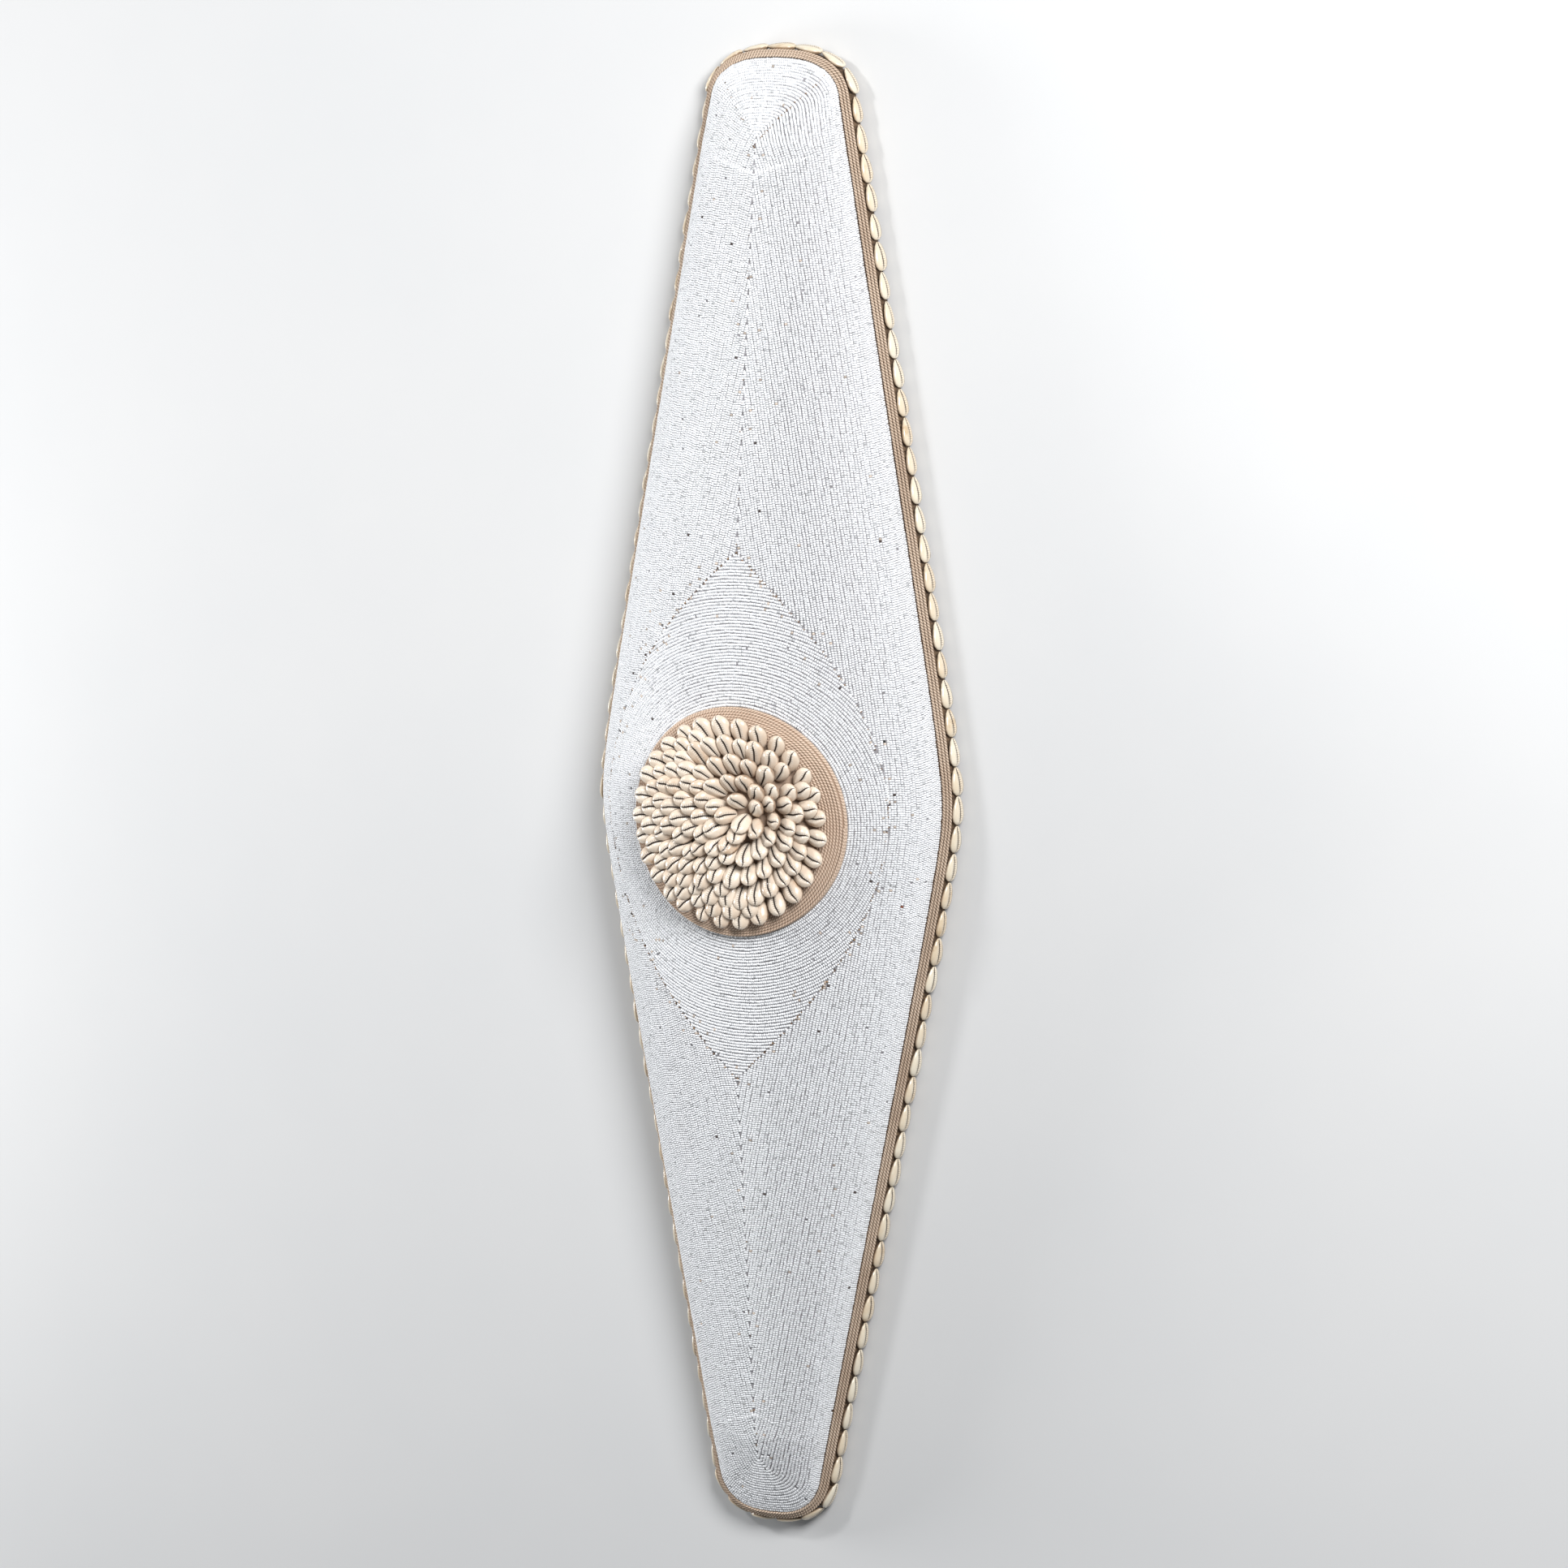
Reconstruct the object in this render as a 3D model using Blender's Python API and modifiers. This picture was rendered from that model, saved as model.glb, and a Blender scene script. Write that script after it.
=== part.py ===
"""Beaded shield lying on its back: a hollow domed board, a sewn bead cover, a cord-wound
edge, and cowrie shells along the edge and over a round boss.

Frame: metres, +Z up out of the face, +Y towards the wider end, the back rim on z = 0 and the
origin under the middle of the length and width.
"""
import math
from bisect import bisect_right

import bmesh
import bpy
from mathutils import Vector
from mathutils.geometry import delaunay_2d_cdt

# Bead cover outline, at the level where the cover ends
COVER_HALF_LENGTH = 0.517
COVER_HALF_WIDTH = 0.1315
TOP_END_HALF_WIDTH = 0.0445
BOTTOM_END_HALF_WIDTH = 0.0345
SIDE_CORNER_EASE = 0.028
END_ROUND_LENGTH = 0.027
END_ROUND_POWER = 2.5

# Dome over that outline
RIM_LEVEL = 0.0200
RIDGE_RISE = 0.0730
TOP_END_RISE = 0.0260
BOTTOM_END_RISE = 0.0185
END_SLOPE_LENGTH = 0.060
END_SLOPE_POWER = 1.25
MARGIN_SLOPE = math.radians(80.0)
CROWN_SHARE = 0.468

# Walls and clearances
BOARD_WALL = 0.0110
BEAD_THICKNESS = 0.0020
PIECE_GAP = 0.0003
MERGE_DISTANCE = PIECE_GAP / 10
EDGE_WALL_HEIGHT = 0.0140
EDGE_WALL_OFFSET = 0.0036

# Pointed eye panel round the boss
EYE_HALF_LENGTH = 0.1855
EYE_CENTRE_Y = -0.0070
EYE_HALF_GIRTH = 0.117
EYE_POWER = 2.3

# Cords along the edge
EDGE_CORDS = ("inner", "middle", "outer")
CORD_DIAMETER = 0.0021
CORD_STEP = CORD_DIAMETER + PIECE_GAP
CORD_SLOPE = math.radians(45.0)
FIRST_CORD_OFFSET = 0.00105
FIRST_CORD_DROP = 0.00090

# Cowrie shells along the edge
EDGE_SHELL_PITCH = 0.0205
EDGE_SHELL_WIDTH = 0.0130
EDGE_SHELL_DEPTH = 0.0064
EDGE_SHELL_LEVEL = 0.0090
EDGE_SHELL_NECK = 0.32
EDGE_SHELL_BELLY = 0.40
EDGE_SHELL_SIDES = 5
END_STRETCH = 0.015

# Boss: a coiled cord disc carrying rings of cowrie shells
BOSS_CENTRE_X = 0.0048
BOSS_CENTRE_Y = -0.0085
DISC_RADIUS = 0.0805
DISC_THICKNESS = 0.0040
DISC_SEAT = 0.0007
DISC_SWELL = 0.0070
DISC_RINGS = 4
DISC_SIDES = 30
SHELL_LENGTH = 0.0185
SHELL_WIDTH = 0.0135
SHELL_DEPTH = 0.0080
SHELL_SPACING = 0.0078
CROWDED_SHARE = 0.78
SHELL_SINK = 0.80
CRUST_SKIN = 0.0025
SHELL_RINGS = 10
OUTER_RING_RADIUS = 0.0655
INNER_RING_RADIUS = 0.0050
OUTER_RING_SHELLS = 29
OUTER_RING_SHIFT_X = 0.0002
OUTER_RING_SHIFT_Y = 0.0015
WHORL_SHIFT_X = 0.0190
WHORL_SHIFT_Y = 0.0080
OUTER_RING_TILT = math.radians(18.0)
INNER_RING_TILT = math.radians(60.0)
SHELL_SEAT = 0.0004
CREST_SHARE = -0.10
TIP_SHARE = 0.75
NOTCH_SHARE = 0.25
VALLEY_SHARE = -0.45
RIM_NOTCH_SHARE = 0.45

# Grid over the dome
EYE_COLUMNS = 4
FIELD_COLUMNS = 5
HOLLOW_COLUMNS = 4
EYE_STATIONS = 5
FIELD_STATIONS = 1
TIP_ROUNDING = 1e-6
ROUND_STATIONS = 5
SECTION_STEPS = 200
NORMAL_RUN = 0.0005
ROUND_ANGLE = math.radians(60.0)
STRAIGHT_ANGLE = math.radians(0.4)

PART_NAME = "beaded_shield"
BEAD_WHITE = (0.86, 0.87, 0.88)
FIBRE_BROWN = (0.20, 0.13, 0.08)
JUTE_TAN = (0.62, 0.49, 0.35)
SHELL_CREAM = (0.80, 0.69, 0.55)


def clear_scene():
    for old in list(bpy.data.objects):
        bpy.data.objects.remove(old, do_unlink=True)
    collection = bpy.data.collections.new(PART_NAME)
    bpy.context.scene.collection.children.link(collection)
    return collection


def make_material(name, colour, roughness):
    material = bpy.data.materials.new(name)
    material.use_nodes = True
    shader = material.node_tree.nodes["Principled BSDF"]
    shader.inputs["Base Color"].default_value = (*colour, 1.0)
    shader.inputs["Roughness"].default_value = roughness
    shader.inputs["Metallic"].default_value = 0.0
    return material


def section_curve():
    """Half section of the dome: reach and height, both from 0 to 1, against girth, and the
    girth for each unit of half width."""
    reach, drop = [0.0], [0.0]
    for step in range(SECTION_STEPS):
        girth = (step + 0.5) / SECTION_STEPS
        slope = MARGIN_SLOPE * (CROWN_SHARE * girth + (1.0 - CROWN_SHARE) * girth ** 3)
        reach.append(reach[-1] + math.cos(slope))
        drop.append(drop[-1] + math.sin(slope))
    return ([r / reach[-1] for r in reach], [1.0 - d / drop[-1] for d in drop],
            SECTION_STEPS / reach[-1])


REACH, HEIGHT, GIRTH_PER_WIDTH = section_curve()


def along(curve, girth):
    place = min(max(girth, 0.0), 1.0) * SECTION_STEPS
    low = min(int(place), SECTION_STEPS - 1)
    return curve[low] + (curve[low + 1] - curve[low]) * (place - low)


def ease(y):
    """0 at the middle and 1 at an end, rounded over the side corners."""
    full = math.hypot(COVER_HALF_LENGTH, SIDE_CORNER_EASE) - SIDE_CORNER_EASE
    return (math.hypot(y, SIDE_CORNER_EASE) - SIDE_CORNER_EASE) / full


def rounded(distance, length, power):
    """Falls from 1 to 0 over the last stretch before an end."""
    share = min(max(1.0 - distance / length, 0.0), 1.0)
    return max(1.0 - share ** power, 0.0) ** (1.0 / power)


def half_width(y, inset=0.0):
    end = TOP_END_HALF_WIDTH if y > 0 else BOTTOM_END_HALF_WIDTH
    line = COVER_HALF_WIDTH + (end - COVER_HALF_WIDTH) * ease(y) - inset
    return line * rounded(COVER_HALF_LENGTH - abs(y), END_ROUND_LENGTH, END_ROUND_POWER)


def rise(y, extra=0.0):
    end = TOP_END_RISE if y > 0 else BOTTOM_END_RISE
    line = RIDGE_RISE + (end - RIDGE_RISE) * ease(y) + extra
    return line * rounded(COVER_HALF_LENGTH - abs(y), END_SLOPE_LENGTH, END_SLOPE_POWER)


def dome_point(girth, y):
    """Point of the bead cover's face; girth runs from -1 to 1 across the shield."""
    side = math.copysign(1.0, girth)
    return Vector((side * half_width(y) * along(REACH, abs(girth)), y,
                   RIM_LEVEL + rise(y) * along(HEIGHT, abs(girth))))


def hollow_point(girth, y):
    """Point of the board's hollow side, which comes down to the back rim."""
    skin = BEAD_THICKNESS + PIECE_GAP + BOARD_WALL
    side = math.copysign(1.0, girth)
    return Vector((side * half_width(y, skin) * along(REACH, abs(girth)),
                   y * (COVER_HALF_LENGTH - skin) / COVER_HALF_LENGTH,
                   rise(y, RIM_LEVEL - skin) * along(HEIGHT, abs(girth))))


def dome_height(x, y):
    """Height of the bead cover's face over a plan point inside the outline."""
    target = min(abs(x) / half_width(y), 1.0)
    step = min(bisect_right(REACH, target), SECTION_STEPS) - 1
    place = step + (target - REACH[step]) / (REACH[step + 1] - REACH[step])
    return RIM_LEVEL + rise(y) * along(HEIGHT, place / SECTION_STEPS)


def dome_normal(x, y):
    run = NORMAL_RUN
    across = (dome_height(x + run, y) - dome_height(x - run, y)) / (2 * run)
    lengthwise = (dome_height(x, y + run) - dome_height(x, y - run)) / (2 * run)
    return Vector((-across, -lengthwise, 1.0)).normalized()


def eye_share(y):
    """Girth share of the eye panel's edge at a station."""
    away = abs(y - EYE_CENTRE_Y) / EYE_HALF_LENGTH
    if away >= 1.0 - TIP_ROUNDING:
        return 0.0
    widest = EYE_HALF_GIRTH / (COVER_HALF_WIDTH * GIRTH_PER_WIDTH)
    return widest * (1.0 - away ** EYE_POWER)


def end_stations(tip):
    """Distances from the middle, beyond the eye's tip, that get a row of points."""
    round_start = COVER_HALF_LENGTH - END_ROUND_LENGTH
    slope_start = COVER_HALF_LENGTH - END_SLOPE_LENGTH
    run = slope_start - tip
    end = [tip + run * (i + 1) / FIELD_STATIONS for i in range(FIELD_STATIONS)]
    end.append((slope_start + round_start) / 2)
    end.append(round_start)
    for i in range(1, ROUND_STATIONS):
        share = math.sin(math.pi / 2 * i / ROUND_STATIONS) ** (2.0 / END_ROUND_POWER)
        end.append(round_start + END_ROUND_LENGTH * share)
    return end + [COVER_HALF_LENGTH]


def stations():
    """Places along the length where the dome gets a row of points."""
    lower = [-y for y in reversed(end_stations(EYE_HALF_LENGTH - EYE_CENTRE_Y))]
    eye = [EYE_CENTRE_Y + EYE_HALF_LENGTH * i / EYE_STATIONS
           for i in range(-EYE_STATIONS, EYE_STATIONS + 1)]
    return lower + eye + end_stations(EYE_HALF_LENGTH + EYE_CENTRE_Y)


def girths(y):
    """Girth shares from the ridge to the edge: eye columns first, then field columns."""
    seam = eye_share(y)
    inner = [seam * i / EYE_COLUMNS for i in range(EYE_COLUMNS + 1)]
    outer = [seam + (1.0 - seam) * math.sin(math.pi / 2 * i / FIELD_COLUMNS)
             for i in range(1, FIELD_COLUMNS + 1)]
    return inner + outer


def seam_shift(column, y):
    """Girth share by which a panel's point draws back from the seam between the panels."""
    if column != EYE_COLUMNS or eye_share(y) == 0.0:
        return 0.0
    return PIECE_GAP / half_width(y)


def dome_mesh(columns, pull_back=0.0, length_share=1.0):
    """Open mesh over the given columns, right and left, with coinciding points merged."""
    mesh = bmesh.new()
    rows = []
    for station in STATIONS:
        shares = girths(station)
        y = EYE_CENTRE_Y + (station - EYE_CENTRE_Y) * length_share
        row = {}
        for column in columns:
            girth = shares[column] + pull_back * seam_shift(column, station)
            for side in (-1, 1):
                row[side * column] = mesh.verts.new(dome_point(side * girth, y))
        rows.append(row)
    for low, high in zip(rows, rows[1:]):
        for column in columns[:-1]:
            for side in (-1, 1):
                corners = [low[side * column], low[side * (column + 1)],
                           high[side * (column + 1)], high[side * column]]
                mesh.faces.new(corners if side > 0 else corners[::-1])
    bmesh.ops.remove_doubles(mesh, verts=mesh.verts, dist=MERGE_DISTANCE)
    bmesh.ops.dissolve_degenerate(mesh, edges=mesh.edges, dist=MERGE_DISTANCE)
    mesh.normal_update()
    return mesh


def finish_object(name, mesh, collection, material, smooth_angle=None):
    data = bpy.data.meshes.new(name)
    mesh.to_mesh(data)
    mesh.free()
    if smooth_angle is not None:
        data.shade_smooth()
        data.set_sharp_from_angle(angle=smooth_angle)
    data.materials.append(material)
    part = bpy.data.objects.new(name, data)
    collection.objects.link(part)
    return part


def solidify(part, thickness, offset):
    wall = part.modifiers.new("wall", "SOLIDIFY")
    wall.thickness = thickness
    wall.offset = offset
    wall.use_even_offset = True
    return part


def outline_loop():
    """Outline of the bead cover, counter-clockwise from the bottom end, without repeats."""
    right = [Vector((half_width(y), y)) for y in STATIONS]
    left = [Vector((-half_width(y), y)) for y in reversed(STATIONS[1:-1])]
    return right + left


def offset_loop(loop, distance):
    """The loop moved outwards in plan, with mitred corners."""
    moved = []
    for before, here, after in zip(loop[-1:] + loop[:-1], loop, loop[1:] + loop[:1]):
        first = (here - before).normalized()
        second = (after - here).normalized()
        normal = Vector((first.y + second.y, -first.x - second.x)).normalized()
        stretch = normal.dot(Vector((first.y, -first.x)))
        moved.append(here + normal * (distance / stretch))
    return moved


def rim_vertices(mesh, outline):
    """The mesh's border vertices in the outline's order."""
    border = {vert for edge in mesh.edges if edge.is_boundary for vert in edge.verts}
    return [min(border, key=lambda vert: (vert.co.xy - point).length) for point in outline]


def make_board(collection):
    """Dome, shoulder under the cords, side wall, flat back rim and hollow as one body."""
    mesh = dome_mesh(list(range(EYE_COLUMNS + FIELD_COLUMNS + 1)))
    outline = outline_loop()
    edge = rim_vertices(mesh, outline)
    for vert in mesh.verts:
        vert.co -= vert.normal * (BEAD_THICKNESS + PIECE_GAP)
    foot = offset_loop(outline, EDGE_WALL_OFFSET)
    shoulder = [mesh.verts.new((p.x, p.y, EDGE_WALL_HEIGHT)) for p in foot]
    base = [mesh.verts.new((p.x, p.y, 0.0)) for p in foot]
    rows = []
    for y in STATIONS:
        shares = [math.sin(math.pi / 2 * i / HOLLOW_COLUMNS) for i in range(HOLLOW_COLUMNS + 1)]
        left = [mesh.verts.new(hollow_point(-share, y)) for share in reversed(shares[1:])]
        rows.append(left + [mesh.verts.new(hollow_point(share, y)) for share in shares])
    inner = [row[-1] for row in rows] + [row[0] for row in reversed(rows[1:-1])]
    for upper, lower in ((edge, shoulder), (shoulder, base), (base, inner)):
        for i in range(len(outline)):
            after = (i + 1) % len(outline)
            mesh.faces.new([upper[i], lower[i], lower[after], upper[after]])
    for low, high in zip(rows, rows[1:]):
        for i in range(len(low) - 1):
            mesh.faces.new([low[i], high[i], high[i + 1], low[i + 1]])
    bmesh.ops.remove_doubles(mesh, verts=mesh.verts, dist=MERGE_DISTANCE)
    bmesh.ops.dissolve_degenerate(mesh, edges=mesh.edges, dist=MERGE_DISTANCE)
    bmesh.ops.recalc_face_normals(mesh, faces=mesh.faces)
    finish_object("board", mesh, collection, make_material("board", FIBRE_BROWN, 0.9))


def make_bead_panels(collection):
    beads = make_material("glass_beads", BEAD_WHITE, 0.3)
    field = dome_mesh(list(range(EYE_COLUMNS, EYE_COLUMNS + FIELD_COLUMNS + 1)), 1.0)
    solidify(finish_object("bead_field", field, collection, beads), BEAD_THICKNESS, -1.0)
    tip_share = 1.0 - 2.0 * PIECE_GAP / EYE_HALF_LENGTH
    eye = dome_mesh(list(range(EYE_COLUMNS + 1)), -1.0, tip_share)
    stray = [v for v in eye.verts if abs(v.co.y - EYE_CENTRE_Y) > EYE_HALF_LENGTH]
    bmesh.ops.delete(eye, geom=stray, context="VERTS")
    solidify(finish_object("bead_eye", eye, collection, beads), BEAD_THICKNESS, -1.0)


def bends_of(loop):
    """The loop without the points at which it runs straight on."""
    kept = []
    for before, here, after in zip(loop[-1:] + loop[:-1], loop, loop[1:] + loop[:1]):
        if (here - before).angle(after - here) > STRAIGHT_ANGLE:
            kept.append(here)
    return kept


def make_edge_cords(collection):
    jute = make_material("jute_cord", JUTE_TAN, 0.85)
    outline = outline_loop()
    for index, label in enumerate(EDGE_CORDS):
        offset = FIRST_CORD_OFFSET + index * CORD_STEP * math.cos(CORD_SLOPE)
        level = RIM_LEVEL - FIRST_CORD_DROP - index * CORD_STEP * math.sin(CORD_SLOPE)
        route = bends_of(offset_loop(outline, offset))
        curve = bpy.data.curves.new("edge_cord_" + label, "CURVE")
        curve.dimensions = "3D"
        curve.bevel_depth = CORD_DIAMETER / 2
        curve.bevel_resolution = 1
        spline = curve.splines.new("POLY")
        spline.points.add(len(route) - 1)
        for knot, place in zip(spline.points, route):
            knot.co = (place.x, place.y, level, 1.0)
        spline.use_cyclic_u = True
        curve.materials.append(jute)
        cord = bpy.data.objects.new(curve.name, curve)
        collection.objects.link(cord)


def loop_walk(loop):
    """Running length at each point of a closed plan loop, and the whole length."""
    lengths = [0.0]
    for here, after in zip(loop, loop[1:] + loop[:1]):
        lengths.append(lengths[-1] + (after - here).length)
    return lengths


def place_on_loop(loop, lengths, distance):
    """Point and heading at a running length along a closed plan loop."""
    distance %= lengths[-1]
    index = max(i for i, run in enumerate(lengths[:-1]) if run <= distance)
    here, after = loop[index], loop[(index + 1) % len(loop)]
    heading = (after - here).normalized()
    return here + heading * (distance - lengths[index]), heading


def stretch_of(point):
    """Name of the stretch of the edge that a plan point lies on."""
    if abs(point.y) > COVER_HALF_LENGTH - END_STRETCH:
        return "top_end" if point.y > 0 else "bottom_end"
    return ("upper_" if point.y > 0 else "lower_") + ("right" if point.x > 0 else "left")


def garlands(route, lengths, count):
    """First shell and number of shells of each stretch, in order along the edge."""
    pitch = lengths[-1] / count
    runs = []
    for shell in range(count):
        name = stretch_of(place_on_loop(route, lengths, (shell + 0.5) * pitch)[0])
        if not runs or runs[-1][0] != name:
            runs.append([name, shell, 0])
        runs[-1][2] += 1
    name, start, shells = runs.pop()
    runs[0][1] = start - count
    runs[0][2] += shells
    return runs


def make_edge_cowries(collection):
    """Garlands of shells end to end on the side wall, one body to each stretch."""
    cowrie = make_material("cowrie_shell", SHELL_CREAM, 0.25)
    offset = EDGE_WALL_OFFSET + PIECE_GAP + EDGE_SHELL_DEPTH / 2
    route = offset_loop(outline_loop(), offset)
    lengths = loop_walk(route)
    count = round(lengths[-1] / EDGE_SHELL_PITCH)
    pitch = lengths[-1] / count
    for name, start, shells in garlands(route, lengths, count):
        mesh = bmesh.new()
        rings = []
        belly = 1.0 - EDGE_SHELL_BELLY if name.endswith("left") else EDGE_SHELL_BELLY
        steps = [(shell + place, girth) for shell in range(shells)
                 for place, girth in ((0.0, EDGE_SHELL_NECK), (belly, 1.0))]
        steps.append((shells, EDGE_SHELL_NECK))
        for number, (place, girth) in enumerate(steps):
            run = (start + place) * pitch
            if number == 0:
                run += PIECE_GAP
            if number == len(steps) - 1:
                run -= PIECE_GAP
            point, heading = place_on_loop(route, lengths, run)
            outward = Vector((heading.y, -heading.x))
            ring = []
            for side in range(EDGE_SHELL_SIDES):
                turn = 2 * math.pi * side / EDGE_SHELL_SIDES
                spot = point + outward * (math.cos(turn) * girth * EDGE_SHELL_DEPTH / 2)
                level = EDGE_SHELL_LEVEL + math.sin(turn) * girth * EDGE_SHELL_WIDTH / 2
                ring.append(mesh.verts.new((spot.x, spot.y, level)))
            rings.append(ring)
        for low, high in zip(rings, rings[1:]):
            for side in range(EDGE_SHELL_SIDES):
                after = (side + 1) % EDGE_SHELL_SIDES
                mesh.faces.new([low[side], low[after], high[after], high[side]])
        mesh.faces.new(rings[0][::-1])
        mesh.faces.new(rings[-1])
        bmesh.ops.recalc_face_normals(mesh, faces=mesh.faces)
        finish_object("edge_cowries_" + name, mesh, collection, cowrie, ROUND_ANGLE)


def disc_top(x, y):
    """Height of the boss disc's top: level with its rim, and swelling to the whorl's centre."""
    away = math.hypot(x - BOSS_CENTRE_X, y - BOSS_CENTRE_Y) / DISC_RADIUS
    swell = DISC_SWELL * max(1.0 - away * away, 0.0)
    return dome_height(x, y) + DISC_SEAT + DISC_THICKNESS + swell


def make_boss_disc(collection):
    mesh = bmesh.new()
    skins = []
    for top in (True, False):
        skin = []
        for ring in range(DISC_RINGS + 1):
            radius = DISC_RADIUS * ring / DISC_RINGS
            sides = DISC_SIDES if ring else 1
            row = []
            for side in range(sides):
                turn = 2 * math.pi * side / DISC_SIDES
                x = BOSS_CENTRE_X + radius * math.cos(turn)
                y = BOSS_CENTRE_Y + radius * math.sin(turn)
                level = disc_top(x, y) if top else dome_height(x, y) + DISC_SEAT
                row.append(mesh.verts.new((x, y, level)))
            skin.append(row if ring else row * DISC_SIDES)
        skins.append(skin)
    for skin in skins:
        for low, high in zip(skin, skin[1:]):
            for side in range(DISC_SIDES):
                after = (side + 1) % DISC_SIDES
                corners = [low[side], high[side], high[after], low[after]]
                distinct = list(dict.fromkeys(corners))
                mesh.faces.new(distinct)
    upper, lower = skins[0][-1], skins[1][-1]
    for side in range(DISC_SIDES):
        after = (side + 1) % DISC_SIDES
        mesh.faces.new([lower[side], lower[after], upper[after], upper[side]])
    bmesh.ops.recalc_face_normals(mesh, faces=mesh.faces)
    jute = make_material("jute_disc", JUTE_TAN, 0.85)
    finish_object("boss_disc", mesh, collection, jute, ROUND_ANGLE)


def shell_places():
    """Plan place, half pitch and ring of every shell over the boss. The rings close in on the
    whorl's centre off the middle, each staggered against the last, and keep their number of
    shells until that is too crowded. A shell with no room left for it is skipped."""
    outer = Vector((BOSS_CENTRE_X + OUTER_RING_SHIFT_X, BOSS_CENTRE_Y + OUTER_RING_SHIFT_Y))
    whorl = Vector((BOSS_CENTRE_X + WHORL_SHIFT_X, BOSS_CENTRE_Y + WHORL_SHIFT_Y))
    pitch = 2 * math.pi * OUTER_RING_RADIUS / OUTER_RING_SHELLS
    places = []
    count = OUTER_RING_SHELLS
    for ring in range(SHELL_RINGS):
        share = ring / (SHELL_RINGS - 1)
        radius = OUTER_RING_RADIUS + (INNER_RING_RADIUS - OUTER_RING_RADIUS) * share
        if 2 * math.pi * radius / count < pitch * CROWDED_SHARE:
            count = max(3, round(2 * math.pi * radius / pitch))
        for number in range(count):
            turn = math.pi + 2 * math.pi * (number + 0.5 * (ring % 2)) / count
            place = outer.lerp(whorl, share) + Vector((math.cos(turn), math.sin(turn))) * radius
            if all((place - other).length > SHELL_SPACING for other, _, _ in places):
                places.append((place, math.pi * radius / count, ring))
    return whorl, places


def boss_shells():
    """Every shell over the boss: its centre, three half axes, half pitch and ring."""
    whorl, places = shell_places()
    shells = []
    for place, half_pitch, ring in places:
        x, y = place
        away = min((place - whorl).length / OUTER_RING_RADIUS, 1.0)
        tilt = INNER_RING_TILT + (OUTER_RING_TILT - INNER_RING_TILT) * away
        normal = dome_normal(x, y)
        outward = (place - whorl).to_3d()
        outward = (outward - normal * outward.dot(normal)).normalized()
        across = normal.cross(outward)
        length_axis = outward * math.cos(tilt) + normal * math.sin(tilt)
        facing = length_axis.cross(across)
        reach = (math.sin(tilt) * SHELL_LENGTH + math.cos(tilt) * SHELL_DEPTH) / 2
        level = disc_top(x, y) + SHELL_SEAT + reach / normal.z * SHELL_SINK
        axes = (length_axis * (SHELL_LENGTH / 2), across * (SHELL_WIDTH / 2),
                facing * (SHELL_DEPTH / 2))
        shells.append((Vector((x, y, level)), axes, half_pitch, ring))
    return shells


def shell_top(shell, x, y):
    """Height of an egg-shaped shell over a plan point, or None beside it."""
    centre, axes = shell[:2]
    plan = Vector((x - centre.x, y - centre.y, 0.0))
    start = Vector([plan.dot(axis) / axis.length_squared for axis in axes])
    climb = Vector([axis.z / axis.length_squared for axis in axes])
    square, mixed = climb.dot(climb), start.dot(climb)
    inside = mixed * mixed - square * (start.dot(start) - 1.0)
    if inside < 0:
        return None
    return centre.z + (math.sqrt(inside) - mixed) / square


def crust_top(shells, x, y):
    """Height of the shells over a plan point, at least a thin skin over the disc."""
    tops = [shell_top(shell, x, y) for shell in shells]
    floor = disc_top(x, y) + SHELL_SEAT + CRUST_SKIN
    return max([floor] + [top for top in tops if top is not None])


def make_boss_cowries(collection):
    """Rings of overlapping shells fused into one crust, with crests and valleys."""
    shells = boss_shells()
    rim, inside = [], []
    for shell in shells:
        centre, axes, half_pitch, ring = shell
        out = Vector((axes[0].x, axes[0].y))
        reach, out = out.length, out.normalized()
        side = Vector((-out.y, out.x))
        middle = centre.xy
        crest = middle + out * (reach * CREST_SHARE)
        tip = middle + out * (reach * TIP_SHARE)
        notch = middle + out * (reach * NOTCH_SHARE) + side * half_pitch
        if ring == 0:
            rim += [middle + out * reach, middle + out * (reach * RIM_NOTCH_SHARE) + side * half_pitch]
            inside += [crest, tip, middle + out * (reach * VALLEY_SHARE) + side * half_pitch]
        elif ring < SHELL_RINGS - 1:
            inside += [crest, tip, notch]
        else:
            inside.append(tip)
    border = [(i, (i + 1) % len(rim)) for i in range(len(rim))]
    points, _, faces = delaunay_2d_cdt(rim + inside, border, [], 1, PIECE_GAP)[:3]
    mesh = bmesh.new()
    top, bottom = [], []
    for index, point in enumerate(points):
        floor = disc_top(point.x, point.y) + SHELL_SEAT
        level = floor + CRUST_SKIN if index < len(rim) else crust_top(shells, point.x, point.y)
        top.append(mesh.verts.new((point.x, point.y, level)))
        bottom.append(mesh.verts.new((point.x, point.y, floor)))
    for face in faces:
        mesh.faces.new([top[i] for i in face])
        mesh.faces.new([bottom[i] for i in reversed(face)])
    for here, after in border:
        mesh.faces.new([top[after], top[here], bottom[here], bottom[after]])
    bmesh.ops.recalc_face_normals(mesh, faces=mesh.faces)
    cowrie = make_material("boss_cowrie_shell", SHELL_CREAM, 0.25)
    finish_object("boss_cowries", mesh, collection, cowrie)


STATIONS = stations()


def main():
    collection = clear_scene()
    make_board(collection)
    make_bead_panels(collection)
    make_edge_cords(collection)
    make_edge_cowries(collection)
    make_boss_disc(collection)
    make_boss_cowries(collection)


main()
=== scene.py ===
"""Beaded shield lying on its back: sewn glass beads, twisted jute cords and cowrie shells."""
import math

import bpy
import numpy as np
from mathutils import Matrix, Vector


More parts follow.
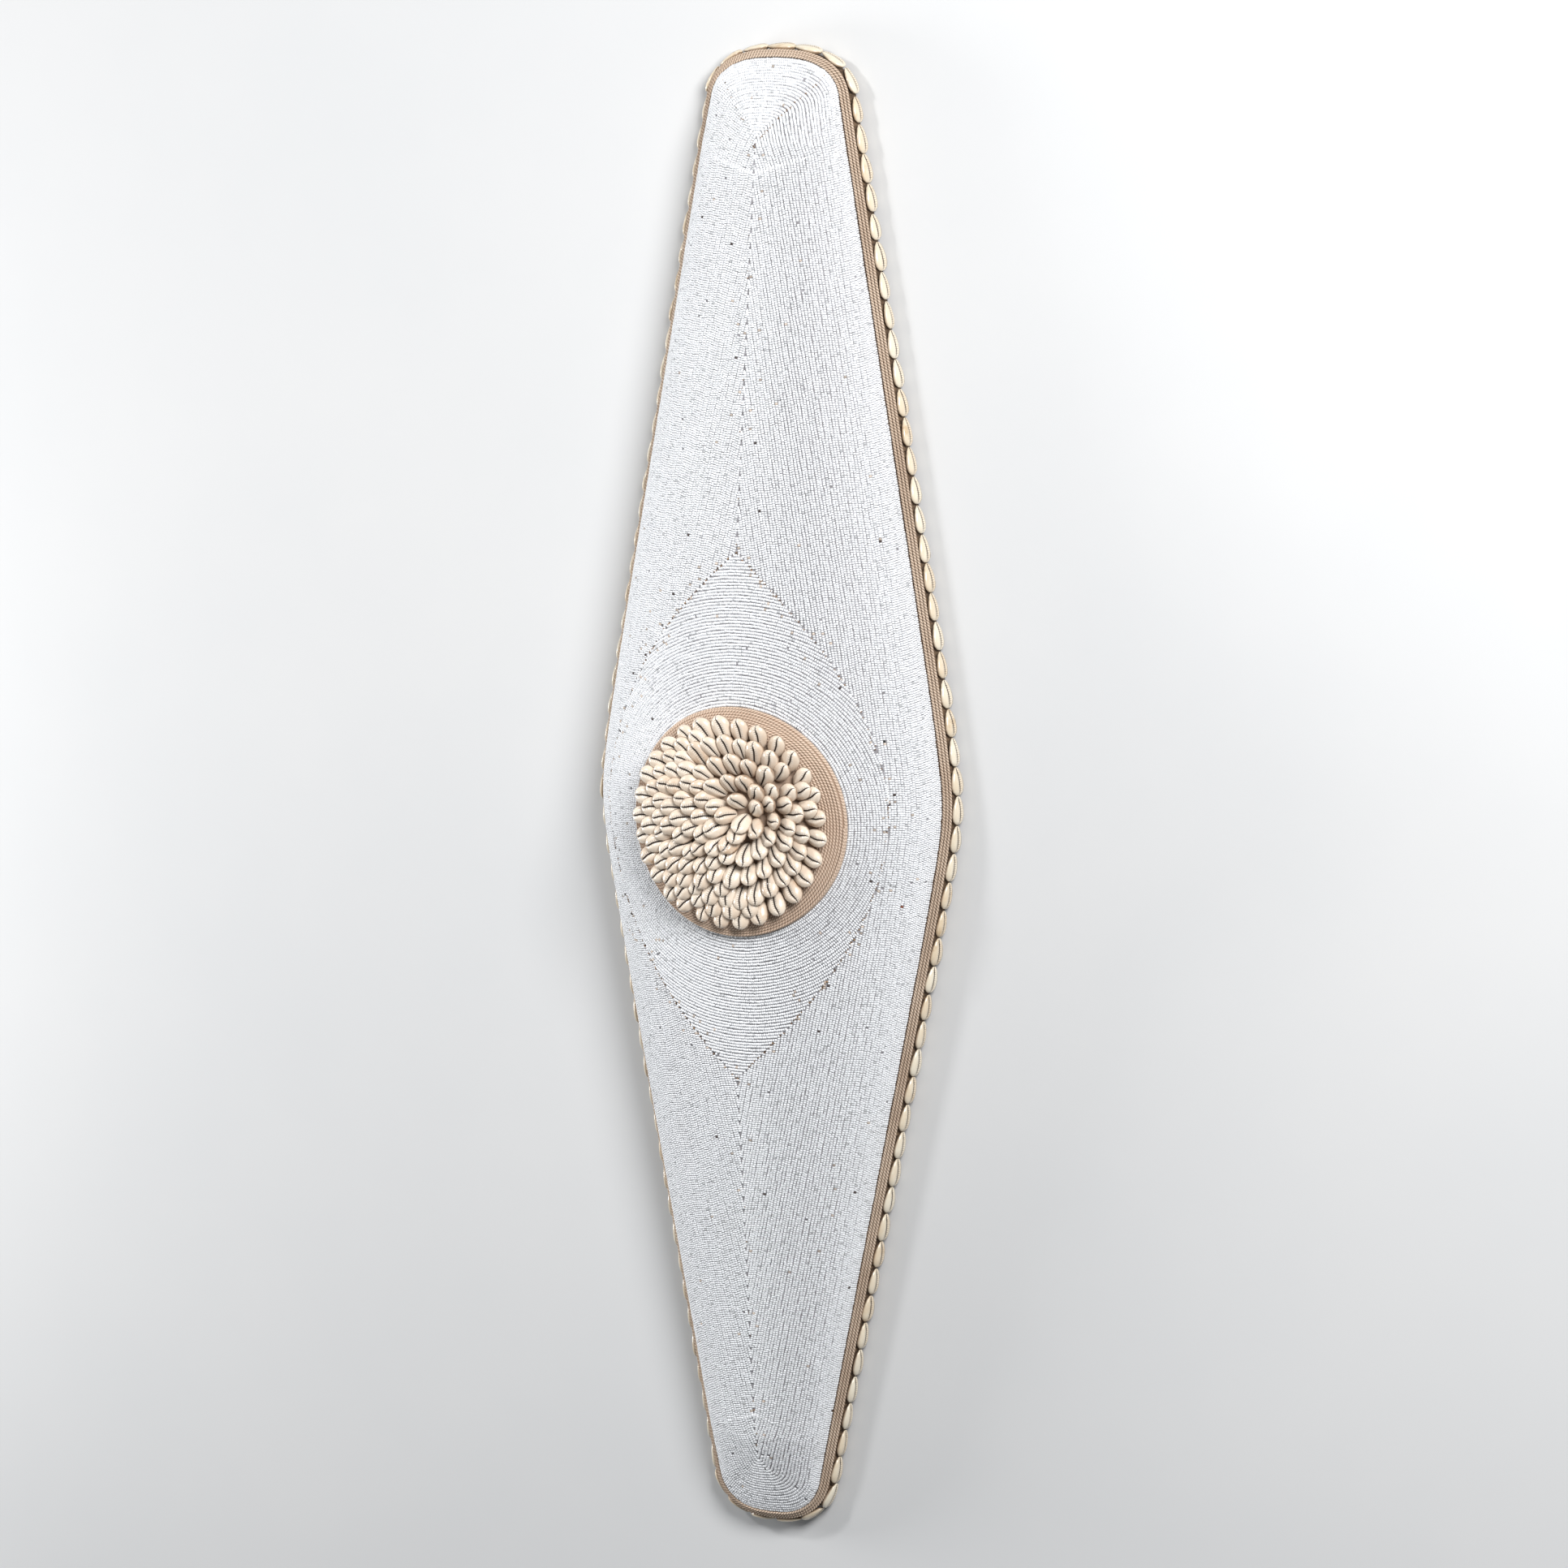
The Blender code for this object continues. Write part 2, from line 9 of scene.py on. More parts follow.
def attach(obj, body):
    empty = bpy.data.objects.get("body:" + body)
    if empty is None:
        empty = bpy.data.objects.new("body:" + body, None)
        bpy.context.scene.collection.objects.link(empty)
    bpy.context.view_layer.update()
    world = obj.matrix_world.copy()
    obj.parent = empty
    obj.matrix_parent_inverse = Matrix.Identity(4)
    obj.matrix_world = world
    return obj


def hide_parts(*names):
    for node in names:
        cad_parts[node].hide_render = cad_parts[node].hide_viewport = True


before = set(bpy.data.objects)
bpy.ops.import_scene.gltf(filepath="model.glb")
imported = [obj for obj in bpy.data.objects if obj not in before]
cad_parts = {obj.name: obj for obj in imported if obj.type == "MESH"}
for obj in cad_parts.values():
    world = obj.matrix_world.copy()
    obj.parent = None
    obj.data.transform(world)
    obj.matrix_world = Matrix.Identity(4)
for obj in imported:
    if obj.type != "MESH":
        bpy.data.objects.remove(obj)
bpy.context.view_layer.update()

rng = np.random.default_rng(59)

# Bead cover outline and dome, in metres, as the board under them
COVER_HALF_LENGTH = 0.517
COVER_HALF_WIDTH = 0.1315
TOP_END_HALF_WIDTH = 0.0445
BOTTOM_END_HALF_WIDTH = 0.0345
SIDE_CORNER_EASE = 0.028
END_ROUND_LENGTH = 0.027
END_ROUND_POWER = 2.5
RIM_LEVEL = 0.0200
RIDGE_RISE = 0.0730
TOP_END_RISE = 0.0260
BOTTOM_END_RISE = 0.0185
END_SLOPE_LENGTH = 0.060
END_SLOPE_POWER = 1.25
MARGIN_SLOPE = math.radians(80.0)
CROWN_SHARE = 0.468
SECTION_STEPS = 200
SLOPE_RUN = 0.0005
EDGE_WALL_OFFSET = 0.0036
PIECE_GAP = 0.0003

# Eye panel round the boss
EYE_HALF_LENGTH = 0.1855
EYE_CENTRE_Y = -0.0070
EYE_HALF_GIRTH = 0.117
EYE_POWER = 2.3

# Beads
ROW_PITCH = 0.0022
BEAD_PITCH = 0.00162
BEAD_WIDTH = 0.00206
BEAD_LENGTH = 0.00150
BEAD_HEIGHT = 0.00170
BEAD_TOP_LENGTH_SHARE = 0.78
BEAD_TOP_WIDTH_SHARE = 0.68
BEAD_STRAY = 0.00008
BEAD_SPACING_STRAY = 0.00007
BEAD_TURN_STRAY = 0.08
BEAD_SINK_STRAY = 0.00030
BEAD_HEADING_RUN = 0.0006
ROW_WANDER = 0.00009
ROW_WAVES = (0.019, 0.043, 0.090)
ROW_SAMPLE = 0.0006
EDGE_SAMPLE = 0.0008
OUTLINE_SAMPLE = 0.0010
ROW_OVERLAP = 0.00022
FIELD_ROWS = 90
EYE_ROWS = 60
SEAM_CLEARANCE = 0.0001
MITRE_TOP = 0.457
MITRE_BOTTOM = -0.472

# Cords along the edge
EDGE_CORDS = ("inner", "middle", "outer")
CORD_DIAMETER = 0.0021
CORD_STEP = CORD_DIAMETER + PIECE_GAP
CORD_SLOPE = math.radians(45.0)
FIRST_CORD_OFFSET = 0.00105
FIRST_CORD_DROP = 0.00090
CORD_SAMPLE = 0.0006
CORD_SIDES = 6
CORD_FULLNESS = 1.16
CORD_LAY = 0.0044
CORD_LOBE = 0.26
CORD_HIDDEN_SIDE = math.radians(225.0)

# Cowrie shells along the edge
EDGE_SHELL_PITCH = 0.0205
EDGE_SHELL_WIDTH = 0.0130
EDGE_SHELL_DEPTH = 0.0064
EDGE_SHELL_LEVEL = 0.0090
END_STRETCH = 0.015
EDGE_SLIT_TURN = math.radians(8.0)
EDGE_SHELL_TAPER = 0.28
EDGE_LENGTH_SHARE = 0.99
EDGE_DEPTH_SHARE = 0.93
EDGE_SHELL_STRAY = 0.03
EDGE_LEVEL_STRAY = 0.0003
EDGE_TILT, EDGE_TILT_STRAY = 0.10, 0.05
EDGE_HEADING_RUN, EDGE_HEADING_STRAY = 0.006, 0.0005
PLAN_SAMPLE = 0.0012

# Fibre wound over the side wall: levels up it, and how far it stands proud there
FIBRE_LEVELS = np.array((0.0006, 0.0038, 0.0075, 0.0112, 0.0137))
FIBRE_PROUD = np.array((0.0002, 0.0011, 0.0015, 0.0011, 0.0002))
FIBRE_LEAST_SHARE = 0.15
FIBRE_UNEVEN = (0.7, 1.2)
FIBRE_PITCH = 0.0011
FIBRE_CLEARANCE = 0.0001

# Form of a cowrie: the columns of points draw in to the slit, which lies deep between its lips
COWRIE_SEGMENTS = 12
BOSS_SHELL_STATIONS, EDGE_SHELL_STATIONS = 10, 8
COWRIE_COLUMNS = (0, 30, 60, 90, 120, 150, 180)
COWRIE_TURNED = (0, 11, 30, 62, 100, 140, 180)
COWRIE_FULLNESS = 2.4
COWRIE_FACE_FLATNESS = 0.86
SLIT_DEPTH = 0.42
LIP_SWELL = 0.04
SLIT_HOOK = math.radians(30.0)
SLIT_HOOK_START, SLIT_HOOK_POWER = 0.2, 1.5
SLIT_LEAN = math.radians(8.0)
SLIT_COLUMN, LIP_COLUMN = 1.0, 32.0
SLIT_FADE = 1.4

# Boss
BOSS_CENTRE = np.array((0.0048, -0.0085))
DISC_RADIUS = 0.0805
DISC_THICKNESS = 0.0040
DISC_SEAT = 0.0007
DISC_SWELL = 0.0070
DISC_CORD = 0.0019
DISC_COIL_TURNS = 9
DISC_CORD_SPACING = 0.98
DISC_CORD_FULLNESS = 1.06
DISC_CORD_LAY = 0.0046
DISC_CORD_SAMPLE = 0.0020
DISC_RIM_DROPS = (1.5, 2.45)
COIL_HIDDEN_SIDE = math.radians(270.0)
RIM_HIDDEN_SIDE = math.radians(180.0)
CORE_SHADED_TWIST = 2.2
SHELL_LENGTH = 0.0185
SHELL_WIDTH = 0.0135
SHELL_DEPTH = 0.0080
SHELL_SPACING = 0.0078
GAP_SPACING = 0.0092
GAP_SEARCH_STEP = 0.0012
CROWDED_SHARE = 0.78
SHELL_SINK = 0.80
SHELL_RINGS = 10
OUTER_RING_RADIUS = 0.0655
INNER_RING_RADIUS = 0.0050
OUTER_RING_SHELLS = 29
OUTER_RING_SHIFT = np.array((0.0002, 0.0015))
WHORL_SHIFT = np.array((0.0190, 0.0080))
OUTER_RING_TILT = math.radians(18.0)
INNER_RING_TILT = math.radians(60.0)
BOSS_SHELL_TAPER = -0.14
SHELL_PLACE_STRAY = 0.0004
SHELL_TILT_STRAY = math.radians(3.0)
SHELL_SWAY = math.radians(6.0)
SHELL_SIZE_STRAY = 0.05


# Dome surface

def section_curve():
    """Half section of the dome: reach and height, from 0 to 1, against girth."""
    girth = (np.arange(SECTION_STEPS) + 0.5) / SECTION_STEPS
    slope = MARGIN_SLOPE * (CROWN_SHARE * girth + (1.0 - CROWN_SHARE) * girth ** 3)
    reach = np.concatenate(([0.0], np.cumsum(np.cos(slope))))
    drop = np.concatenate(([0.0], np.cumsum(np.sin(slope))))
    return reach / reach[-1], 1.0 - drop / drop[-1], SECTION_STEPS / reach[-1]


REACH, HEIGHT, GIRTH_PER_WIDTH = section_curve()
GIRTHS = np.linspace(0.0, 1.0, SECTION_STEPS + 1)


def ease(y):
    full = math.hypot(COVER_HALF_LENGTH, SIDE_CORNER_EASE) - SIDE_CORNER_EASE
    return (np.hypot(y, SIDE_CORNER_EASE) - SIDE_CORNER_EASE) / full


def rounded(distance, length, power):
    share = np.clip(1.0 - distance / length, 0.0, 1.0)
    return np.maximum(1.0 - share ** power, 0.0) ** (1.0 / power)


def half_width(y):
    y = np.asarray(y, float)
    end = np.where(y > 0, TOP_END_HALF_WIDTH, BOTTOM_END_HALF_WIDTH)
    line = COVER_HALF_WIDTH + (end - COVER_HALF_WIDTH) * ease(y)
    return line * rounded(COVER_HALF_LENGTH - np.abs(y), END_ROUND_LENGTH, END_ROUND_POWER)


def rise(y):
    y = np.asarray(y, float)
    end = np.where(y > 0, TOP_END_RISE, BOTTOM_END_RISE)
    line = RIDGE_RISE + (end - RIDGE_RISE) * ease(y)
    return line * rounded(COVER_HALF_LENGTH - np.abs(y), END_SLOPE_LENGTH, END_SLOPE_POWER)


def dome_points(girth, y):
    """Points of the bead cover's face for girth shares from -1 to 1 at stations y."""
    size = np.abs(girth)
    x = np.sign(girth) * half_width(y) * np.interp(size, GIRTHS, REACH)
    z = RIM_LEVEL + rise(y) * np.interp(size, GIRTHS, HEIGHT)
    return np.stack((x, y, z), axis=-1)


def dome_height(x, y):
    share = np.clip(np.abs(x) / half_width(y), 0.0, 1.0)
    return RIM_LEVEL + rise(y) * np.interp(np.interp(share, REACH, GIRTHS), GIRTHS, HEIGHT)


def dome_normals(x, y):
    across = (dome_height(x + SLOPE_RUN, y) - dome_height(x - SLOPE_RUN, y)) / (2 * SLOPE_RUN)
    along = (dome_height(x, y + SLOPE_RUN) - dome_height(x, y - SLOPE_RUN)) / (2 * SLOPE_RUN)
    normal = np.stack((-across, -along, np.ones_like(across)), axis=-1)
    return normal / np.linalg.norm(normal, axis=-1, keepdims=True)


# Flat layout of the cover: girth across and running length along the ridge

RIDGE_Y = np.linspace(-COVER_HALF_LENGTH, COVER_HALF_LENGTH, 2001)


def ridge_lengths():
    step = np.hypot(np.diff(RIDGE_Y), np.diff(rise(RIDGE_Y)))
    run = np.concatenate(([0.0], np.cumsum(step)))
    return run - np.interp(0.0, RIDGE_Y, run)


def section_girths():
    """True half girth of the dome at each ridge station."""
    width, tall = half_width(RIDGE_Y), rise(RIDGE_Y)
    step = np.hypot(np.outer(width, np.diff(REACH)), np.outer(tall, np.diff(HEIGHT)))
    return step.sum(axis=1)


RIDGE_RUN = ridge_lengths()
RIDGE_GIRTH = section_girths()


def lay_on_dome(flat):
    """Points of the flat layout (girth, run) set on the dome."""
    y = np.interp(flat[:, 1], RIDGE_RUN, RIDGE_Y)
    half = np.maximum(np.interp(flat[:, 1], RIDGE_RUN, RIDGE_GIRTH), 1e-5)
    return dome_points(np.clip(flat[:, 0] / half, -1.0, 1.0), y)


def resample(points, pitch, closed=False):
    """A polyline's points at even running distances."""
    if closed:
        points = np.vstack((points, points[:1]))
    step = np.linalg.norm(np.diff(points, axis=0), axis=1)
    run = np.concatenate(([0.0], np.cumsum(step)))
    count = max(int(round(run[-1] / pitch)), 2)
    at = np.linspace(0.0, run[-1], count + 1)
    if closed:
        at = at[:-1]
    return np.stack([np.interp(at, run, points[:, i]) for i in range(points.shape[1])], axis=-1)


def flat_outline():
    right = np.stack((RIDGE_GIRTH, RIDGE_RUN), axis=-1)
    left = np.stack((-RIDGE_GIRTH[::-1], RIDGE_RUN[::-1]), axis=-1)[1:-1]
    return resample(np.vstack((right, left)), OUTLINE_SAMPLE, closed=True)


def eye_edge(y):
    """Half girth of the eye panel at stations y, in metres along the surface."""
    inside = np.clip(np.abs(y - EYE_CENTRE_Y) / EYE_HALF_LENGTH, 0.0, 1.0)
    share = EYE_HALF_GIRTH / (COVER_HALF_WIDTH * GIRTH_PER_WIDTH) * (1.0 - inside ** EYE_POWER)
    return share * np.interp(np.interp(y, RIDGE_Y, RIDGE_RUN), RIDGE_RUN, RIDGE_GIRTH)


def eye_depth(flat):
    """How far inside the eye's edge points of the flat layout lie; negative outside."""
    ys = EYE_CENTRE_Y + np.linspace(-EYE_HALF_LENGTH, EYE_HALF_LENGTH, 241)
    edge = np.stack((eye_edge(ys), np.interp(ys, RIDGE_Y, RIDGE_RUN)), axis=-1)
    edge = resample(np.vstack((edge, edge[::-1] * (-1.0, 1.0))), EDGE_SAMPLE)
    away = np.full(len(flat), 1.0)
    for start in range(0, len(flat), 4000):
        part = flat[start:start + 4000]
        gap = np.linalg.norm(part[:, None, :] - edge[None, :, :], axis=-1)
        away[start:start + 4000] = gap.min(axis=1)
    y = np.interp(flat[:, 1], RIDGE_RUN, RIDGE_Y)
    inside = (np.abs(y - EYE_CENTRE_Y) < EYE_HALF_LENGTH) & (np.abs(flat[:, 0]) < eye_edge(y))
    return np.where(inside, away, -away)


def offset_rows(loop, distances, outward):
    """Offset curves of a closed counter-clockwise loop, without the parts that cross over."""
    step = np.roll(loop, -1, axis=0) - np.roll(loop, 1, axis=0)
    step /= np.linalg.norm(step, axis=1, keepdims=True)
    normal = np.stack((step[:, 1], -step[:, 0]), axis=-1) * (1.0 if outward else -1.0)
    rows = []
    for distance in distances:
        moved = loop + normal * distance
        gap = np.empty(len(moved))
        for start in range(0, len(moved), 800):
            part = moved[start:start + 800]
            gap[start:start + 800] = np.linalg.norm(
                part[:, None, :] - loop[None, :, :], axis=-1).min(axis=1)
        rows.append(moved[gap > distance - ROW_OVERLAP])
    return rows


def broken_runs(points, keep, closed=True):
    """The stretches of a row on which every point is kept."""
    if keep.all():
        return [np.vstack((points, points[:1])) if closed else points]
    if not keep.any():
        return []
    first = int(np.argmin(keep))
    points, keep = np.roll(points, -first, axis=0), np.roll(keep, -first)
    runs, current = [], []
    for point, kept in zip(points, keep):
        if kept:
            current.append(point)
        elif current:
            runs.append(np.array(current))
            current = []
    if current:
        runs.append(np.array(current))
    return [run for run in runs if len(run) > 3]


def wavy(row, strength):
    """A hand-sewn row wanders a little from its line."""
    run = np.concatenate(([0.0], np.cumsum(np.linalg.norm(np.diff(row, axis=0), axis=1))))
    shift = np.zeros(len(row))
    for wave in ROW_WAVES:
        shift += strength * np.sin(2 * math.pi * run / wave + rng.uniform(0, 2 * math.pi))
    step = np.gradient(row, axis=0)
    step /= np.maximum(np.linalg.norm(step, axis=1, keepdims=True), 1e-9)
    return row + np.stack((step[:, 1], -step[:, 0]), axis=-1) * shift[:, None]


def bead_places(flat_rows):
    """Place, row heading and flat place of every bead on rows of the flat layout."""
    places, headings, flats = [], [], []
    for row in flat_rows:
        row = wavy(row, ROW_WANDER)
        line = lay_on_dome(row)
        step = np.linalg.norm(np.diff(line, axis=0), axis=1)
        run = np.concatenate(([0.0], np.cumsum(step)))
        if run[-1] < 2 * BEAD_PITCH:
            continue
        count = int(run[-1] / BEAD_PITCH)
        at = (np.arange(count) + 0.5) * run[-1] / count + rng.normal(0.0, BEAD_SPACING_STRAY, count)

        def spots(source, distance):
            return np.stack([np.interp(distance, run, column) for column in source.T], axis=-1)

        places.append(spots(line, at))
        headings.append(spots(line, at + BEAD_HEADING_RUN) - spots(line, at - BEAD_HEADING_RUN))
        flats.append(spots(row, at))
    return np.vstack(places), np.vstack(headings), np.vstack(flats)


# Meshes

def new_piece(name, verts, faces, material, nodes=(), smooth=True):
    mesh = bpy.data.meshes.new(name)
    verts = np.asarray(verts, dtype=np.float32)
    if isinstance(faces, list):
        mesh.from_pydata(verts.tolist(), [], faces)
    else:
        mesh.vertices.add(len(verts))
        mesh.vertices.foreach_set("co", verts.ravel())
        mesh.loops.add(faces.size)
        mesh.loops.foreach_set("vertex_index", faces.ravel().astype(np.int32))
        mesh.polygons.add(len(faces))
        starts = np.arange(0, faces.size, faces.shape[1], dtype=np.int32)
        mesh.polygons.foreach_set("loop_start", starts)
        mesh.update(calc_edges=True)
        mesh.validate()
    if smooth:
        mesh.polygons.foreach_set("use_smooth", np.ones(len(mesh.polygons), dtype=bool))
    mesh.materials.append(material)
    piece = bpy.data.objects.new(name, mesh)
    bpy.context.scene.collection.objects.link(piece)
    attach(piece, "root")
    if nodes:
        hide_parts(*nodes)
    return piece


def point_colours(piece, name, colours):
    layer = piece.data.color_attributes.new(name, "FLOAT_COLOR", "POINT")
    rgba = np.ones((len(colours), 4), dtype=np.float32)
    rgba[:, :3] = colours
    layer.data.foreach_set("color", rgba.ravel())


def point_values(piece, name, values):
    layer = piece.data.attributes.new(name, "FLOAT", "POINT")
    layer.data.foreach_set("value", np.asarray(values, dtype=np.float32))


def copy_points(shape, centres, axes, sizes):
    """Points of one modelled shape at many places; axes holds three rows for each copy."""
    local = shape[None, :, :] * sizes[:, None, :]
    points = centres[:, None, :] + np.einsum("nvk,nkd->nvd", local, axes)
    return points.reshape(-1, 3)


def copy_quads(shape, quads, count):
    """Faces of the same copies."""
    steps = np.arange(count)[:, None, None] * len(shape)
    return (quads[None, :, :] + steps).reshape(-1, quads.shape[1])


def select_none():
    for other in list(bpy.context.selected_objects):
        other.select_set(False)
    bpy.context.view_layer.objects.active = None


def take_mesh(name):
    """Points and faces of the active modelled shape, which is then put away."""
    shape = bpy.context.view_layer.objects.active
    shape.name = name
    points = np.empty(len(shape.data.vertices) * 3)
    shape.data.vertices.foreach_get("co", points)
    faces = [tuple(polygon.vertices) for polygon in shape.data.polygons]
    data = shape.data
    bpy.data.objects.remove(shape, do_unlink=True)
    bpy.data.meshes.remove(data)
    return points.reshape(-1, 3), faces


def model_bead():
    """One glass bead, a cube drawn in at its top, one metre to a side."""
    select_none()
    bpy.ops.mesh.primitive_cube_add(size=1.0)
    bead = bpy.context.view_layer.objects.active
    for vert in bead.data.vertices:
        high = vert.co.z > 0
        vert.co.x *= BEAD_TOP_LENGTH_SHARE if high else 1.0
        vert.co.y *= BEAD_TOP_WIDTH_SHARE if high else 1.0
    points, faces = take_mesh("bead")
    return points, np.array(faces, dtype=np.int32)


def model_cowrie(rings, taper, slit_turn=0.0):
    """One cowrie shell with its slit up (+Z), or turned from there, its narrow end at +X, and half
    sizes of one."""
    select_none()
    bpy.ops.mesh.primitive_uv_sphere_add(segments=COWRIE_SEGMENTS, ring_count=rings, radius=1.0)
    ball, faces = take_mesh("cowrie")
    u = ball[:, 2]
    around = np.degrees(np.arctan2(ball[:, 1], ball[:, 0]))
    turned = np.sign(around) * np.interp(np.abs(around), COWRIE_COLUMNS, COWRIE_TURNED)
    slit = np.abs(around) < SLIT_COLUMN
    lip = (np.abs(around) > SLIT_COLUMN) & (np.abs(around) < LIP_COLUMN)
    hooked = np.clip((u - SLIT_HOOK_START) / (1.0 - SLIT_HOOK_START), 0.0, 1.0)
    hook = SLIT_HOOK * hooked ** SLIT_HOOK_POWER
    angle = np.radians(turned) + hook - SLIT_LEAN
    girth = np.sqrt(np.clip(1.0 - np.abs(u) ** COWRIE_FULLNESS, 0.0, 1.0))
    girth = girth * (1.0 - taper * u) / (1.0 + taper ** 2 / 2.0)
    inward = np.where(slit, SLIT_DEPTH, np.where(lip, -LIP_SWELL, 0.0))
    inward = inward * np.clip(girth * SLIT_FADE, 0.0, 1.0)
    across = (girth - inward) * np.sin(angle)
    facing = (girth - inward) * np.cos(angle)
    facing = np.where(facing > 0, facing * COWRIE_FACE_FLATNESS, facing)
    y = across * math.cos(slit_turn) + facing * math.sin(slit_turn)
    z = facing * math.cos(slit_turn) - across * math.sin(slit_turn)
    faces = [tuple(reversed(face)) for face in faces]
    facts = {"shell_along": (u + 1.0) / 2.0, "shell_across": np.abs(np.radians(turned)) / math.pi}
    return np.stack((u, y, z), axis=-1), faces, facts


# Node helpers

def node_sheet(material):
    material.use_nodes = True
    tree = material.node_tree
    return tree, tree.nodes["Principled BSDF"]


def add(tree, kind, **values):
    node = tree.nodes.new(kind)
    for key, value in values.items():
        if key in node.inputs:
            node.inputs[key].default_value = value
        else:
            setattr(node, key, value)
    return node


def read_attribute(tree, name, output="Fac"):
    return add(tree, "ShaderNodeAttribute", attribute_name=name).outputs[output]


def number(tree, operation, first, second=0.0, third=0.0):
    node = add(tree, "ShaderNodeMath", operation=operation)
    for socket, value in zip(node.inputs, (first, second, third)):
        if isinstance(value, (int, float)):
            socket.default_value = value
        else:
            tree.links.new(value, socket)
    return node.outputs[0]


def between(tree, value, low, high):
    """0 below low and 1 above high, smooth between."""
    node = add(tree, "ShaderNodeMapRange", interpolation_type="SMOOTHSTEP")
    tree.links.new(value, node.inputs["Value"])
    node.inputs["From Min"].default_value = low
    node.inputs["From Max"].default_value = high
    return node.outputs["Result"]


def blend(tree, amount, first, second):
    node = add(tree, "ShaderNodeMix", data_type="RGBA")
    for socket, value in ((node.inputs[0], amount), (node.inputs[6], first), (node.inputs[7], second)):
        if isinstance(value, (int, float)):
            socket.default_value = value
        elif isinstance(value, tuple):
            socket.default_value = (*value, 1.0)
        else:
            tree.links.new(value, socket)
    return node.outputs[2]


def object_place(tree, scale=(1.0, 1.0, 1.0)):
    place = add(tree, "ShaderNodeTexCoord").outputs["Object"]
    mapping = add(tree, "ShaderNodeMapping")
    mapping.inputs["Scale"].default_value = scale
    tree.links.new(place, mapping.inputs["Vector"])
    return mapping.outputs["Vector"]


def raise_bumps(tree, shader, height, strength, distance):
    bump = add(tree, "ShaderNodeBump")
    bump.inputs["Strength"].default_value = strength
    bump.inputs["Distance"].default_value = distance
    tree.links.new(height, bump.inputs["Height"])
    tree.links.new(bump.outputs["Normal"], shader.inputs["Normal"])


def make_mottle_group():
    """Cloudy patches of a chosen size, put out as one mask from 0 to 1."""
    tree = bpy.data.node_groups.new("mottle", "ShaderNodeTree")
    tree.interface.new_socket("Place", in_out="INPUT", socket_type="NodeSocketVector")
    tree.interface.new_socket("Patches per Metre", in_out="INPUT", socket_type="NodeSocketFloat")
    tree.interface.new_socket("Low", in_out="INPUT", socket_type="NodeSocketFloat")
    tree.interface.new_socket("High", in_out="INPUT", socket_type="NodeSocketFloat")
    tree.interface.new_socket("Amount", in_out="OUTPUT", socket_type="NodeSocketFloat")
    entry, out = add(tree, "NodeGroupInput"), add(tree, "NodeGroupOutput")
    noise = add(tree, "ShaderNodeTexNoise", Detail=4.0, Roughness=0.6)
    ramp = add(tree, "ShaderNodeMapRange", interpolation_type="SMOOTHSTEP")
    tree.links.new(entry.outputs["Place"], noise.inputs["Vector"])
    tree.links.new(entry.outputs["Patches per Metre"], noise.inputs["Scale"])
    tree.links.new(noise.outputs["Fac"], ramp.inputs["Value"])
    tree.links.new(entry.outputs["Low"], ramp.inputs["From Min"])
    tree.links.new(entry.outputs["High"], ramp.inputs["From Max"])
    tree.links.new(ramp.outputs["Result"], out.inputs["Amount"])
    return tree


mottle_group = make_mottle_group()


def mottle(tree, place, patches, low=0.35, high=0.65):
    node = add(tree, "ShaderNodeGroup", node_tree=mottle_group)
    tree.links.new(place, node.inputs["Place"])
    node.inputs["Patches per Metre"].default_value = patches
    node.inputs["Low"].default_value = low
    node.inputs["High"].default_value = high
    return node.outputs["Amount"]


# Finishes

def glass_bead_finish():
    material = bpy.data.materials.new("white_glass_beads")
    tree, shader = node_sheet(material)
    tint = read_attribute(tree, "bead_tint", "Color")
    place = object_place(tree)
    soiled = mottle(tree, place, 22.0, 0.5, 0.8)
    colour = blend(tree, number(tree, "MULTIPLY", soiled, 0.10), tint, (0.66, 0.64, 0.62))
    tree.links.new(colour, shader.inputs["Base Color"])
    rough = number(tree, "MULTIPLY_ADD", mottle(tree, place, 900.0), 0.12, 0.22)
    tree.links.new(rough, shader.inputs["Roughness"])
    shader.inputs["IOR"].default_value = 1.5
    return material


def backing_and_gap_shade_finish():
    material = bpy.data.materials.new("bead_backing_and_gap_shade")
    tree, shader = node_sheet(material)
    place = object_place(tree)
    # Dark greys: partly the backing cloth, partly painted shade that darkens the gaps between the bead
    # rows.
    colour = blend(tree, mottle(tree, place, 420.0), (0.20, 0.19, 0.195), (0.38, 0.37, 0.39))
    tree.links.new(colour, shader.inputs["Base Color"])
    shader.inputs["Roughness"].default_value = 0.9
    return material


def thread_finish():
    material = bpy.data.materials.new("brown_seam_thread")
    tree, shader = node_sheet(material)
    colour = blend(tree, mottle(tree, object_place(tree), 500.0),
                   (0.09, 0.05, 0.03), (0.42, 0.26, 0.14))
    tree.links.new(colour, shader.inputs["Base Color"])
    shader.inputs["Roughness"].default_value = 0.85
    return material


def jute_finish(name, pale, tan, dark):
    """Twisted jute: the twist's phase sets painted shade in the grooves between the plies."""
    material = bpy.data.materials.new(name)
    tree, shader = node_sheet(material)
    place = object_place(tree)
    wave = number(tree, "COSINE", read_attribute(tree, "twist"))
    groove_shade = between(tree, number(tree, "MULTIPLY", wave, -1.0), -0.1, 0.9)
    fibre = mottle(tree, place, 2600.0, 0.3, 0.7)
    colour = blend(tree, mottle(tree, place, 14.0, 0.35, 0.70), pale, tan)
    # Painted shade: the ply grooves are darkened towards the dark colour.
    colour = blend(tree, number(tree, "MULTIPLY", groove_shade, 0.78), colour, dark)
    colour = blend(tree, number(tree, "MULTIPLY", fibre, 0.28), colour, dark)
    tree.links.new(colour, shader.inputs["Base Color"])
    shader.inputs["Roughness"].default_value = 0.9
    height = number(tree, "MULTIPLY_ADD", fibre, 0.25, number(tree, "SUBTRACT", 1.0, groove_shade))
    raise_bumps(tree, shader, height, 0.6, 0.0003)
    return material


